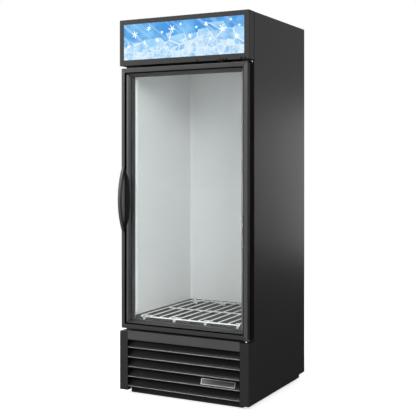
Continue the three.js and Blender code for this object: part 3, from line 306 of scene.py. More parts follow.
def noise(tree, scale, detail=2.0, vector=None, roughness=0.5):
    """Noise over Object coordinates, or over a given vector."""
    made = tree.nodes.new("ShaderNodeTexNoise")
    made.inputs["Detail"].default_value = detail
    made.inputs["Roughness"].default_value = roughness
    if vector is None:
        vector = object_place(tree)
    tree.links.new(vector, made.inputs["Vector"])
    if isinstance(scale, (int, float)):
        made.inputs["Scale"].default_value = scale
    else:
        tree.links.new(scale, made.inputs["Scale"])
    return made.outputs["Fac"]


def grain_group():
    tree, inlet, outlet = effect_group("fine grain", {"Per Metre": 800.0}, ["Height"])
    coarse = noise(tree, inlet.outputs["Per Metre"], 3.0)
    tree.links.new(coarse, outlet.inputs["Height"])
    return tree


def brushed_group():
    tree, inlet, outlet = effect_group(
        "brushed lines", {"Across X": 900.0, "Across Y": 900.0, "Across Z": 12.0}, ["Height"])
    join = tree.nodes.new("ShaderNodeCombineXYZ")
    for axis in "XYZ":
        tree.links.new(inlet.outputs["Across " + axis], join.inputs[axis])
    stretch = tree.nodes.new("ShaderNodeVectorMath")
    stretch.operation = "MULTIPLY"
    tree.links.new(object_place(tree), stretch.inputs[0])
    tree.links.new(join.outputs[0], stretch.inputs[1])
    lines = noise(tree, 1.0, 3.0, stretch.outputs[0], 0.6)
    tree.links.new(lines, outlet.inputs["Height"])
    return tree


def handling_group():
    tree, inlet, outlet = effect_group(
        "handling marks", {"Glossy": 0.35, "Dull": 0.5, "Per Metre": 5.0}, ["Roughness"])
    broad = noise(tree, inlet.outputs["Per Metre"], 4.0)
    spread = remap(tree, broad, 0.35, 0.65, inlet.outputs["Glossy"], inlet.outputs["Dull"])
    tree.links.new(spread, outlet.inputs["Roughness"])
    return tree


def edge_group():
    # Paler edges: partly wear, and partly a painted highlight where edges catch the light.
    tree, inlet, outlet = effect_group("edge wear", {"Reach": 0.0012, "Patchiness": 0.5}, ["Mask"])
    rounded = tree.nodes.new("ShaderNodeBevel")
    rounded.samples = 4
    tree.links.new(inlet.outputs["Reach"], rounded.inputs["Radius"])
    flat = tree.nodes.new("ShaderNodeNewGeometry")
    facing = tree.nodes.new("ShaderNodeVectorMath")
    facing.operation = "DOT_PRODUCT"
    tree.links.new(rounded.outputs[0], facing.inputs[0])
    tree.links.new(flat.outputs["Normal"], facing.inputs[1])
    near_edge = remap(tree, facing.outputs["Value"], 0.995, 0.8, 0.0, 1.0)
    patches = remap(tree, noise(tree, 45.0, 4.0), inlet.outputs["Patchiness"], 0.75, 0.25, 1.0)
    mask = math_node(tree, "MULTIPLY", near_edge, patches)
    tree.links.new(mask, outlet.inputs["Mask"])
    return tree


def dust_group():
    tree, inlet, outlet = effect_group(
        "settled dust", {"Fades At": 0.35, "Amount": 0.3}, ["Mask"])
    height = by_axis(tree, object_place(tree))["Z"]
    low = remap(tree, height, inlet.outputs["Fades At"], 0.0, 0.0, 1.0)
    geometry = tree.nodes.new("ShaderNodeNewGeometry")
    upward = by_axis(tree, geometry.outputs["Normal"])["Z"]
    ledge = remap(tree, upward, 0.2, 0.9, 0.0, 0.8)
    where = math_node(tree, "MAXIMUM", math_node(tree, "MULTIPLY", low, 0.5), ledge)
    speckle = remap(tree, noise(tree, 60.0, 5.0), 0.4, 0.65, 0.2, 1.0)
    mask = math_node(tree, "MULTIPLY", where, speckle)
    mask = math_node(tree, "MULTIPLY", mask, inlet.outputs["Amount"])
    tree.links.new(mask, outlet.inputs["Mask"])
    return tree


EFFECTS = {"grain": grain_group(), "brushed": brushed_group(), "handling": handling_group(),
           "edge": edge_group(), "dust": dust_group()}
print("effect groups:", ", ".join(group.name for group in EFFECTS.values()))

# %% [markdown]
# ## Finishes
# Every finish starts from one Principled shader. The shared effects then drive what
# changes over the surface: the colour, through masks, the roughness, and the height
# of a Bump node. What is the same all over is set on the shader itself.

# %% The recipe that all opaque finishes share
def effect(tree, kind, **values):
    """Places a shared effect in a material; words in a name are joined by _."""
    made = tree.nodes.new("ShaderNodeGroup")
    made.node_tree = EFFECTS[kind]
    for label, value in values.items():
        made.inputs[label.replace("_", " ")].default_value = value
    return made


def blend_colour(tree, base, over, mask):
    """Lays a colour over a colour socket or a plain colour, by a mask."""
    mix = tree.nodes.new("ShaderNodeMix")
    mix.data_type = "RGBA"
    tree.links.new(mask, mix.inputs["Factor"])
    for label, value in (("A", base), ("B", over)):
        slot = [s for s in mix.inputs if s.name == label and s.type == "RGBA"][0]
        if isinstance(value, tuple):
            slot.default_value = (*value, 1)
        else:
            tree.links.new(value, slot)
    return [s for s in mix.outputs if s.type == "RGBA"][0]


def finish(name, colour, roughness, metallic=0.0, grain=None, brushed=None, depth=0.02,
           tint=None, edge=None, dust=None, coat=0.0, marks=5.0, shine=0.5):
    """An opaque finish. roughness is (glossy, dull); grain or brushed set the relief."""
    made, tree, shader = plain_material(name, colour, roughness[0])
    shader.inputs["Metallic"].default_value = metallic
    shader.inputs["Coat Weight"].default_value = coat
    shader.inputs["Specular IOR Level"].default_value = shine
    handling = effect(tree, "handling", Glossy=roughness[0], Dull=roughness[1], Per_Metre=marks)
    tree.links.new(handling.outputs[0], shader.inputs["Roughness"])
    shade = colour
    if tint:
        patches = remap(tree, noise(tree, tint[1], 4.0), 0.35, 0.7, 0.0, 1.0)
        shade = blend_colour(tree, shade, tint[0], patches)
    if grain or brushed:
        relief = effect(tree, "grain", Per_Metre=grain) if grain else effect(
            tree, "brushed", Across_X=brushed[0], Across_Y=brushed[1], Across_Z=brushed[2])
        bump = tree.nodes.new("ShaderNodeBump")
        bump.inputs["Strength"].default_value = 1.0
        bump.inputs["Distance"].default_value = depth / 1000
        tree.links.new(relief.outputs["Height"], bump.inputs["Height"])
        tree.links.new(bump.outputs["Normal"], shader.inputs["Normal"])
        if brushed:
            streaks = remap(tree, relief.outputs["Height"], 0.35, 0.7, 0.0, 0.6)
            lighter = tuple(min(1.0, c * 1.25 + 0.01) for c in colour)
            shade = blend_colour(tree, shade, lighter, streaks)
    if edge:
        # Paler edges, partly wear and partly a painted highlight.
        edge_wear_and_highlight = effect(tree, "edge", Reach=edge[1], Patchiness=0.5)
        shade = blend_colour(tree, shade, edge[0], edge_wear_and_highlight.outputs["Mask"])
    if dust:
        layer = effect(tree, "dust", Fades_At=dust[0], Amount=dust[1])
        shade = blend_colour(tree, shade, (0.42, 0.4, 0.37), layer.outputs["Mask"])
    if not isinstance(shade, tuple):
        tree.links.new(shade, shader.inputs["Base Color"])
    return made


# %% [markdown]
# ### Blacks
# Four kinds of black meet on this cabinet and none is pure black. Powder coat has a
# soft orange peel, and its folds are greyer, partly from wear and partly as a painted
# highlight. The door's anodised aluminium is drawn through a die, so its grain runs
# along each bar. Moulded plastic has a spark-eroded texture, and rubber is dull. Most
# kinds come in several tones, and these are painted light and shade: paler where a
# face catches the lamps, darker where it lies in shade. Two dark enamels belong to the
# machinery.

# %% Black finishes
FOLD_GREY = (0.11, 0.11, 0.112)
# Edge colours, partly wear and partly a painted highlight; the stiles' pale one paints the light
# line along their bevels.
STILE_EDGE = (0.24, 0.24, 0.245)
PEEL = {"grain": 900, "depth": 0.008}
PANEL = {**PEEL, "tint": ((0.034, 0.034, 0.0345), 5.0), "edge": (FOLD_GREY, 0.0014),
         "dust": (0.3, 0.05)}
DRAWN_UPRIGHT = {"metallic": 0.3, "brushed": (1600, 1600, 14), "depth": 0.006}
DRAWN_LEVEL = {"brushed": (14, 1600, 1600), "depth": 0.006, "edge": (FOLD_GREY, 0.0012)}

powder_coat = finish("black powder coat", (0.03, 0.03, 0.0305), (0.32, 0.34), **PANEL)
top_coat = finish("black powder coat of the top", (0.03, 0.03, 0.0305), (0.55, 0.62), **PANEL,
                  shine=0.12)
frame_coat = finish("black powder coat of the sign's frame", (0.04, 0.04, 0.041), (0.36, 0.4),
                    **PEEL, edge=(FOLD_GREY, 0.0014), shine=0.3)
# The kick band's coat is painted paler: painted light, where the band faces the lamps.
band_coat_painted_lit = finish("black powder coat of the kick band", (0.088, 0.088, 0.089), (0.4, 0.46),
                   **PEEL, edge=(FOLD_GREY, 0.0012), dust=(0.2, 0.06))
# The louvers' coat is painted almost black: painted shade, where they lie in each other's shade.
blade_coat_painted_shade = finish("black powder coat of the louvers", (0.005, 0.005, 0.0052), (0.32, 0.38),
                    **PEEL, dust=(0.2, 0.02), shine=0.12)
# Paler noses: a painted highlight along the louvers' rolled noses.
nose_painted_highlight = finish("burnished louver noses", (0.16, 0.164, 0.168), (0.28, 0.34), **PEEL,
                   shine=0.7)
anodised_upright = finish("black anodised, drawn upright", (0.082, 0.082, 0.085), (0.34, 0.4),
                          **DRAWN_UPRIGHT, edge=(STILE_EDGE, 0.0014))
anodised_level = finish("black anodised, drawn level", (0.062, 0.062, 0.064), (0.34, 0.4), 0.3,
                        **DRAWN_LEVEL)
# Darker, duller anodising paints shade on the bottom rail's upward bevel.
anodised_painted_shade = finish("black anodised, scuffed dull", (0.03, 0.03, 0.031), (0.42, 0.48), 0.2,
                       **DRAWN_LEVEL, shine=0.12)
# Paler anodising paints a highlight on the top rail's bevel and on the side bead.
anodised_painted_highlight = finish("black anodised, rubbed pale", (0.13, 0.13, 0.133), (0.34, 0.4), 0.3,
                       **DRAWN_LEVEL)
# The grip's plastic is painted paler than the other black plastic, as a painted sheen.
grip_black_painted_sheen = finish("hand-polished black plastic", (0.09, 0.09, 0.091), (0.34, 0.42),
                    grain=1500, depth=0.02)
# Paler anodising paints light on the right stile's face.
anodised_painted_light = finish("black anodised, drawn upright and rubbed", (0.112, 0.112, 0.115),
                         (0.34, 0.4), **DRAWN_UPRIGHT, edge=(STILE_EDGE, 0.0014))
# A pale anodising that paints a highlight along the left bevel.
anodised_edge_highlight = finish("black anodised, pale along an edge", (0.19, 0.19, 0.194), (0.34, 0.4),
                       **DRAWN_UPRIGHT)
moulded_black = finish("moulded black plastic", (0.013, 0.013, 0.014), (0.34, 0.46),
                       grain=1500, depth=0.04, edge=((0.05, 0.05, 0.052), 0.001))
# Partly black plastic's own colour, partly painted shade: near-black in the handle's recess,
# between the panes and on the hinge side.
recess_black_painted_shade = finish("dull black plastic of the handle's recess", (0.005, 0.005, 0.0053),
                      (0.4, 0.5), grain=1500, depth=0.03, shine=0.25)
# Black with no colour and no shine: painted shade, for the groove's lining and the small lip
# screws.
groove_black_painted_shade = finish("unlit black of the groove", (0.002, 0.002, 0.002), (0.7, 0.8),
                      grain=900, depth=0.02, shine=0.0)
rubber = finish("black rubber", (0.012, 0.012, 0.013), (0.6, 0.75), grain=900, depth=0.05,
                dust=(0.5, 0.2))
black_enamel = finish("glossy black enamel", (0.012, 0.012, 0.013), (0.18, 0.3), grain=260,
                      depth=0.05, coat=0.4, dust=(0.4, 0.5))
dull_black_coil = finish("dull black coil paint", (0.03, 0.03, 0.032), (0.55, 0.7), 0.2,
                         grain=700, depth=0.06, dust=(0.6, 0.6))
print("black finishes ready")

# %% [markdown]
# ### Whites and bare metals
# The cabin is lined with white enamelled steel that shows a faint roll texture. The
# rack's wires are dipped in white plastic. Zinc plate has cloudy spangles, so its
# colour changes in patches, and the copper lines have darkened where hands held them.
# The stainless pan under the rack is painted almost black, as painted shade.

# %% White, metal and foam finishes
lining_white = finish("white enamelled lining", (0.73, 0.74, 0.74), (0.28, 0.4), grain=340,
                      depth=0.03, tint=((0.7, 0.71, 0.715), 7.0), edge=((0.83, 0.84, 0.84), 0.002))
wire_white = finish("white dipped wire", (0.8, 0.8, 0.785), (0.25, 0.35), grain=500, depth=0.05)
nylon_white = finish("white nylon", (0.82, 0.82, 0.8), (0.3, 0.42), grain=900, depth=0.02)
zinc_plate = finish("zinc plate", (0.5, 0.51, 0.53), (0.3, 0.48), 0.9, grain=500, depth=0.02,
                    tint=((0.38, 0.4, 0.43), 60.0), edge=((0.7, 0.71, 0.73), 0.0012), marks=40.0)
hinge_zinc = finish("black zinc of the hinges", (0.035, 0.035, 0.037), (0.3, 0.42), 0.4,
                    grain=500, depth=0.02, edge=((0.3, 0.3, 0.31), 0.0008))
# The pan is painted almost black: painted shade under the rack.
pan_painted_shade = finish("dulled stainless", (0.012, 0.0116, 0.0112), (0.5, 0.6),
                    brushed=(20, 1300, 1300), depth=0.01, marks=14.0, shine=0.0)
bare_fins = finish("bare aluminium", (0.62, 0.64, 0.66), (0.3, 0.45), 0.95,
                   brushed=(900, 900, 30), depth=0.03)
copper_tube = finish("drawn copper", (0.6, 0.3, 0.17), (0.25, 0.45), 0.95, grain=300, depth=0.02,
                     tint=((0.33, 0.16, 0.1), 25.0), marks=30.0)
foam_cream = finish("cream foam", (0.8, 0.7, 0.45), (0.8, 0.95), grain=220, depth=0.4)
print("white and metal finishes ready")

# %% [markdown]
# ### Glass
# Each pane is a clear solid with real thickness. A pure glass shader would keep the
# lamps' light out of the cabin, because a lamp can't be aimed through a bend, so
# for shadow rays the pane turns transparent. Everything else meets a glass that
# bends and mirrors. Its index is lower than plain glass's: with that one, the four
# surfaces mirror so much of the room that what is dark behind them turns grey.

# %% Glass
def clear_glass():
    made, tree, shader = plain_material("clear glass", (0.97, 0.985, 0.98), 0.015)
    shader.inputs["Transmission Weight"].default_value = 1.0
    shader.inputs["IOR"].default_value = 1.3
    path = tree.nodes.new("ShaderNodeLightPath")
    through = tree.nodes.new("ShaderNodeBsdfTransparent")
    mix = tree.nodes.new("ShaderNodeMixShader")
    tree.links.new(path.outputs["Is Shadow Ray"], mix.inputs[0])
    tree.links.new(shader.outputs[0], mix.inputs[1])
    tree.links.new(through.outputs[0], mix.inputs[2])
    tree.links.new(mix.outputs[0], tree.nodes["Material Output"].inputs["Surface"])
    return made


glass = clear_glass()
print("glass ready")

# %% [markdown]
# ### What glows
# The light bars and the sign's lamp have frosted lenses, which glow a little
# unevenly. The same recipe serves small pieces that have to stand out bright: the
# flakes on the sign, and the plugs at the hinges, which are no lamps, so their glow
# is a painted glint.

# %% Lit lenses
def lit_lens(name, colour, strength):
    made, tree, shader = plain_material(name, colour, 0.3)
    frost = noise(tree, 90.0, 3.0)
    tone = remap(tree, frost, 0.3, 0.7, 0.0, 1.0)
    shade = blend_colour(tree, colour, tuple(c * 0.92 for c in colour), tone)
    tree.links.new(shade, shader.inputs["Emission Color"])
    shader.inputs["Emission Strength"].default_value = strength
    return made


bar_lens = lit_lens("light bar lens", (0.6, 0.61, 0.62), 0.12)
# The plugs glow though they are no lamps: a painted glint.
plug_painted_glint = lit_lens("bright nylon plug", (0.95, 0.95, 0.94), 0.5)
flake_white = lit_lens("sign flakes", (0.88, 0.96, 1.0), 0.85)
sign_lens = lit_lens("sign lamp", (1.0, 1.0, 0.97), 1.0)
print("lenses ready")

# %% [markdown]
# ### Sign face
# The sign is a translucent sheet lit from behind, so its picture glows evenly. The
# picture here is plain cold weather: blue sky that pales towards a white haze, and a
# drift of broken ice along the foot. Sky and haze come from height, and the ice from
# Voronoi cells, whose edges make the bright cracks. Flakes are laid on it later.

# %% Sign face
SIGN_LOW, SIGN_HIGH = 1.782, 1.9715


def icy_layer(tree, flat, height, under, scale, crest, wave, tones):
    """Broken ice along the foot of the sign, laid over what is under it."""
    cells, gaps = (tree.nodes.new("ShaderNodeTexVoronoi") for _ in range(2))
    gaps.feature = "DISTANCE_TO_EDGE"
    for texture in (cells, gaps):
        texture.voronoi_dimensions = "2D"
        texture.inputs["Scale"].default_value = scale
        tree.links.new(flat.outputs[0], texture.inputs["Vector"])
    facet = tree.nodes.new("ShaderNodeSeparateColor")
    tree.links.new(cells.outputs["Color"], facet.inputs[0])
    across = by_axis(tree, flat.outputs[0])["X"]
    swell = math_node(tree, "SINE", math_node(tree, "MULTIPLY", across, wave), 0.0)
    top = math_node(tree, "ADD", math_node(tree, "MULTIPLY", swell, 0.12), crest)
    uneven = math_node(tree, "MULTIPLY", facet.outputs["Green"], 0.3)
    ragged = math_node(tree, "ADD", height, uneven)
    below = math_node(tree, "LESS_THAN", ragged, top)
    sheen = remap(tree, noise(tree, scale * 1.5, 3.0, flat.outputs[0]), 0.35, 0.65, 0.0, 0.7)
    ice = blend_colour(tree, tones[0], tones[1], facet.outputs["Red"])
    ice = blend_colour(tree, ice, tones[2], sheen)
    cracks = remap(tree, gaps.outputs["Distance"], 0.0, 0.06, 1.0, 0.0)
    ice = blend_colour(tree, ice, (1.0, 1.0, 1.0), cracks)
    return blend_colour(tree, under, ice, below)


def sign_face():
    made, tree, shader = plain_material("back-lit sign sheet", (0.02, 0.04, 0.06), 0.25)
    place = by_axis(tree, object_place(tree))
    flat = tree.nodes.new("ShaderNodeCombineXYZ")
    tree.links.new(place["X"], flat.inputs["X"])
    tree.links.new(place["Z"], flat.inputs["Y"])
    height = remap(tree, place["Z"], SIGN_LOW, SIGN_HIGH, 0.0, 1.0)

    cloud = remap(tree, noise(tree, 9.0, 6.0, flat.outputs[0]), 0.4, 0.64, 0.0, 1.0)
    sky = blend_colour(tree, (0.045, 0.29, 0.74), (0.2, 0.55, 0.92), cloud)
    slant = tree.nodes.new("ShaderNodeCombineXYZ")
    lean = math_node(tree, "ADD", math_node(tree, "MULTIPLY", place["X"], 26.0),
                     math_node(tree, "MULTIPLY", place["Z"], 34.0))
    tree.links.new(lean, slant.inputs["X"])
    beams = remap(tree, noise(tree, 1.0, 1.0, slant.outputs[0]), 0.52, 0.7, 0.0, 0.5)
    sky = blend_colour(tree, sky, (0.62, 0.87, 1.0), beams)
    picture = blend_colour(tree, sky, (0.4, 0.72, 1.0), remap(tree, height, 0.1, 0.6, 0.7, 0.0))
    picture = icy_layer(tree, flat, height, picture, 13.0, 0.82, 7.0,
                        ((0.1, 0.42, 0.84), (0.34, 0.66, 0.95), (0.62, 0.85, 1.0)))
    picture = icy_layer(tree, flat, height, picture, 24.0, 0.5, 11.0,
                        ((0.16, 0.5, 0.88), (0.6, 0.84, 0.99), (0.9, 0.98, 1.0)))
    tree.links.new(picture, shader.inputs["Emission Color"])
    shader.inputs["Emission Strength"].default_value = 0.92
    return made


sign_sheet = sign_face()
print("sign face from", SIGN_LOW, "to", SIGN_HIGH)

# %% [markdown]
# ## Which solid gets which finish
# A solid whose shape is right keeps its mesh and only gets its finish.

# %% Hand out the finishes
WORN_BY = {
    powder_coat: "cabinet_wrap rear_panel rear_vent base_frame header_box "
                 "kick_post_left kick_post_right",
    frame_coat: "header_frame",
    blade_coat_painted_shade: "kick_grille",
    anodised_upright: "door_stile_left door_stile_right",
    anodised_level: "door_rail_top door_rail_bottom",
    grip_black_painted_sheen: "handle_grip",
    recess_black_painted_shade: "handle_base door_glass_spacer",
    moulded_black: "face_frame cord_gland switch_bezel door_glass_retainer "
                   "glide_front_left glide_front_right glide_rear_left glide_rear_right "
                   "evaporator_fan thermostat_knob condensate_pan",
    rubber: "door_gasket suction_line",
    black_enamel: "compressor",
    dull_black_coil: "condenser_coil condenser_fan_motor",
    lining_white: "cabin_liner evaporator_cover lamp_tray lamp_holder_left lamp_holder_right",
    wire_white: "floor_rack",
    pan_painted_shade: "cabin_floor_pan",
    nylon_white: "hinge_thrust_washer switch_rocker",
    hinge_zinc: "hinge_bracket_top hinge_bracket_bottom",
    zinc_plate: "machine_deck sign_retainer condenser_shroud control_box evaporator_fan_guard "
                "evaporator_fan_motor",
    bare_fins: "evaporator_coil condenser_fan",
    copper_tube: "filter_drier discharge_line",
    foam_cream: "insulation",
    glass: "door_glass_outer door_glass_inner",
    bar_lens: "light_bar_left light_bar_right",
    sign_lens: "lamp_tube",
    sign_sheet: "sign_panel",
}
for material, names in WORN_BY.items():
    for name in names.split():
        nodes[name].data.materials.clear()
        nodes[name].data.materials.append(material)
plain = [name for name, node in nodes.items() if node.data.materials[0] not in WORN_BY]
print("solids still without a finish:", plain)

# %% [markdown]
# ## Tools for new pieces
# New trim is shaped as by hand: a primitive is added at its place and size, faces
# are picked by where they lie, and edit-mode operators do the rest. Everything is
# deselected first, because an operator acts on all that is selected.

# %% Helpers for modelling
def fresh(add, name, **settings):
    """Adds a primitive with nothing else selected, names it and opens it in edit mode."""
    bpy.ops.object.select_all(action="DESELECT")
    add(**settings)
    made = bpy.context.object
    made.name = made.data.name = name
    bpy.ops.object.mode_set(mode="EDIT")
    return made


def only(piece):
    """Selects one piece alone and makes it the active one."""
    bpy.ops.object.select_all(action="DESELECT")
    piece.select_set(True)
    bpy.context.view_layer.objects.active = piece


def pick(piece, mode, test):
    """In edit mode, selects only the faces, edges or vertices whose centre passes a test."""
    bpy.ops.mesh.select_mode(type=mode)
    bpy.ops.mesh.select_all(action="DESELECT")
    mesh = bmesh.from_edit_mesh(piece.data)
    parts = {"FACE": mesh.faces, "EDGE": mesh.edges, "VERT": mesh.verts}[mode]
    for part in parts:
        corners = [part] if mode == "VERT" else list(part.verts)
        centre = sum((v.co for v in corners), Vector()) / len(corners)
        if test(part, centre):
            part.select_set(True)
    mesh.select_flush_mode()
    bmesh.update_edit_mesh(piece.data)


def close(piece, body, material, smooth=35.0):
    """Ends a piece: its place goes into its mesh, and it gets a finish and a body."""
    if bpy.context.mode != "OBJECT":
        bpy.ops.object.mode_set(mode="OBJECT")
    only(piece)
    bpy.ops.object.transform_apply(location=True, rotation=True, scale=True)
    if smooth:
        bpy.ops.object.shade_smooth_by_angle(angle=math.radians(smooth))
    piece.data.materials.clear()
    piece.data.materials.append(material)
    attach(piece, body)
    return piece


def apply_modifier(piece, kind, **settings):
    """Adds a modifier with its settings and applies it."""
    bpy.context.view_layer.objects.active = piece
    made = piece.modifiers.new(kind.lower(), kind)
    for label, value in settings.items():
        setattr(made, label, value)
    bpy.ops.object.modifier_apply(modifier=made.name)


def smoothed(piece, angle=35.0):
    """Shades the selected piece smooth below an angle, and keeps its big faces flat."""
    bpy.ops.object.shade_smooth_by_angle(angle=math.radians(angle))
    apply_modifier(piece, "WEIGHTED_NORMAL", keep_sharp=True)


def copy_at(piece, name, turn, place, body):
    """A copy with its own mesh, turned about the origin and moved to its place."""
    made = piece.copy()
    made.data = piece.data.copy()
    made.name = made.data.name = name
    bpy.context.scene.collection.objects.link(made)
    made.data.transform(Matrix.Translation(place) @ turn.to_4x4())
    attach(made, body)


# %% [markdown]
# ## Rounded edges and smooth curves
# Sheet metal has a small radius at every fold, and a turned or drawn piece has no
# flats. The solids have crisp edges and a few dozen facets instead. So that a solid
# catches the light as the real piece does, its mesh is copied and merged, its flat
# areas are dissolved into single faces, a Bevel modifier rounds what is sharp, and
# the rest is shaded smooth. Weighted normals keep the big faces flat.


def refined(node, edge=0.5, steps=2, smooth=35.0, rounds=0):
    """Replaces a solid by its own copy; edge is the bevel in mm, rounds the subdivisions."""
    made = bpy.data.objects.new(node + "_refined", nodes[node].data.copy())
    made.data.name = made.name
    bpy.context.scene.collection.objects.link(made)
    only(made)
    bpy.ops.mesh.customdata_custom_splitnormals_clear()
    bpy.ops.object.mode_set(mode="EDIT")
    bpy.ops.mesh.select_all(action="SELECT")
    bpy.ops.mesh.remove_doubles(threshold=0.00002)
    bpy.ops.mesh.dissolve_limited(angle_limit=math.radians(0.5))
    bpy.ops.object.mode_set(mode="OBJECT")
    if edge:
        apply_modifier(made, "BEVEL", width=edge / 1000, segments=steps, limit_method="ANGLE",
                       angle_limit=math.radians(30))
    if rounds:
        apply_modifier(made, "SUBSURF", levels=rounds, render_levels=rounds)
    smoothed(made, smooth)
    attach(made, body_of(nodes[node])[0])
    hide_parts(node)
    return made


# %% Folded sheet, extrusions and mouldings
for node in "header_frame header_box kick_post_left kick_post_right cabinet_wrap".split():
    refined(node, edge=0.6)
for node in "door_rail_bottom door_rail_top door_stile_left door_stile_right".split():
    refined(node, edge=0.4)
refined("kick_grille", edge=0.25, steps=1, smooth=40)
for node in ("hinge_bracket_top hinge_bracket_bottom hinge_thrust_washer "
             "switch_bezel switch_rocker").split():
    refined(node, edge=0.4)
for node in "light_bar_left light_bar_right handle_base".split():
    refined(node, edge=0.8, steps=3, smooth=50)
grip = refined("handle_grip", edge=1.6, steps=3, smooth=60)
for node in ("glide_front_left glide_front_right glide_rear_left glide_rear_right cord_gland "
             "thermostat_knob lamp_tube lamp_holder_left lamp_holder_right").split():
    refined(node, edge=0.5, smooth=50)
for node in ("compressor evaporator_fan_motor condenser_fan_motor condenser_shroud filter_drier "
             "evaporator_fan condenser_fan").split():
    refined(node, edge=0.6, smooth=40)
for node in "floor_rack evaporator_fan_guard".split():
    refined(node, edge=0.5, steps=1, smooth=75)
for node in "discharge_line suction_line".split():
    refined(node, edge=0, smooth=60)
shown = [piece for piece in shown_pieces() if piece.name.endswith("_refined")]
print(len(shown), "refined,", sum(len(piece.data.polygons) for piece in shown), "faces")

# %% [markdown]
# The grip's ribbon is a little wider at its middle than at its ends. The vertices of
# its inner side are picked there by their place, and moved towards the glass.

# %% Wider middle of the grip
GRIP_WIDENING = 0.0022
GRIP_SIDE = 0.006               # depth of the inner side that moves
GRIP_MIDDLE = -0.366            # 13 mm before the door's face, so that its ends stay as they are
inner_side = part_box("handle_grip")[1].x
only(grip)
bpy.ops.object.mode_set(mode="EDIT")
pick(grip, "VERT", lambda vertex, centre: centre.x > inner_side - GRIP_SIDE and
     centre.y < GRIP_MIDDLE)
bpy.ops.transform.translate(value=(GRIP_WIDENING, 0, 0))
bpy.ops.object.mode_set(mode="OBJECT")
print("grip widened by", GRIP_WIDENING)

# %% [markdown]
# ### One bar or sheet, several tones
# The kick grille is a single pressed sheet, and its tones are painted light and shade.
# Its band faces the light and is painted paler, its louvers lie in each other's shade
# and are painted darker, and their rolled noses carry a painted highlight. On the door,
# the top rail's bevel is painted paler, a painted highlight, and the bottom rail's is
# painted darker and duller, painted shade. The right stile's face is painted a little
# paler, painted light, and its hinge side is painted black as painted shade, as is the
# side of the grip that faces the glass. The cabinet's top has a duller coat than its sides.

# %% Tones of the grille and the door
NOSE_Y, NOSE_Z, NOSE_PITCH = -0.352, 0.0975, 0.0515     # the fourth louver's rolled nose
NOSE_REACH = 0.0042     # faces this near to a nose's axis belong to it
BAND_HEIGHT = 0.0455    # of the top band, and half a millimetre below it
BAND_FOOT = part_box("kick_grille")[1].z - BAND_HEIGHT
TOP_LEVEL = solid_box[1][2] - 0.001


def dressed(node):
    """The refined copy of a solid."""
    return bpy.data.objects[node + "_refined"]


def tone(piece, material, test):
    """Gives the faces that pass a test another finish."""
    piece.data.materials.append(material)
    for face in piece.data.polygons:
        if test(face.center, face.normal):
            face.material_index = len(piece.data.materials) - 1


def on_a_nose(centre, normal):
    """Whether a face lies on the rolled nose of the louver that is nearest to it."""
    above = (centre.z - NOSE_Z + NOSE_PITCH / 2) % NOSE_PITCH - NOSE_PITCH / 2
    near = math.hypot(centre.y - NOSE_Y, above) < NOSE_REACH
    return centre.z < BAND_FOOT and near and normal.z > -0.4


grille = dressed("kick_grille")
# Painted light and shade on one sheet: a paler band, darker louvers, highlighted noses.
tone(grille, band_coat_painted_lit, lambda centre, normal: centre.z > BAND_FOOT)
# Painted highlight on the rolled noses.
tone(grille, nose_painted_highlight, on_a_nose)
# Painted highlight on the top rail's downward bevel.
tone(dressed("door_rail_top"), anodised_painted_highlight,
     lambda centre, normal: normal.z < -0.4 < 0.9 + normal.z)
# Painted shade on the bottom rail's bevel.
tone(dressed("door_rail_bottom"), anodised_painted_shade, lambda centre, normal: 0.4 < normal.z < 0.9)
# Painted light on the right stile's face.
tone(dressed("door_stile_right"), anodised_painted_light, lambda centre, normal: normal.y < -0.9)
# Painted shade on the right stile's hinge side.
tone(dressed("door_stile_right"), recess_black_painted_shade, lambda centre, normal: normal.x > 0.6)
for node in ("cabinet_wrap", "header_box"):
    tone(dressed(node), top_coat,
         lambda centre, normal: normal.z > 0.9 and centre.z > TOP_LEVEL)
# Painted shade on the side of the grip that faces the glass.
tone(grip, moulded_black, lambda centre, normal: normal.x > 0.45)
print(len([face for face in grille.data.polygons if face.material_index == 2]), "nose faces")

# %% [markdown]
# ## Lining of the door's groove
# Behind the outer strip the door's front steps down into a groove, which is lined
# with a black strip that paints the groove's shade. It starts as a bar the size of the
# groove's outer edge: the front is inset by the lining's thickness and pushed in to the
# floor, and then both faces are opened in the middle and joined.

# %% Groove lining
DOOR_LOW, DOOR_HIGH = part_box("door_stile_left")[0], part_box("door_stile_right")[1]
GROOVE_START, GROOVE_END, GROOVE_DEPTH = 0.024, 0.029, 0.01     # widths count from the door's edge
LINING = 0.0004         # thickness of the strip
CLEAR = 0.0001          # left free between the strip and the groove's walls
LIP_START = 0.0205      # on the left, the strip's own edge overlaps the stile's face from here
LIP_PROUD = 0.0003      # and stands this far out of it


def inner_rectangle(left, other):
    """Size and centre (x, z) of what is left of the door's face inside two margins."""
    wide, tall = DOOR_HIGH.x - DOOR_LOW.x - left - other, DOOR_HIGH.z - DOOR_LOW.z - 2 * other
    return wide, tall, DOOR_LOW.x + left + wide / 2, (DOOR_LOW.z + DOOR_HIGH.z) / 2


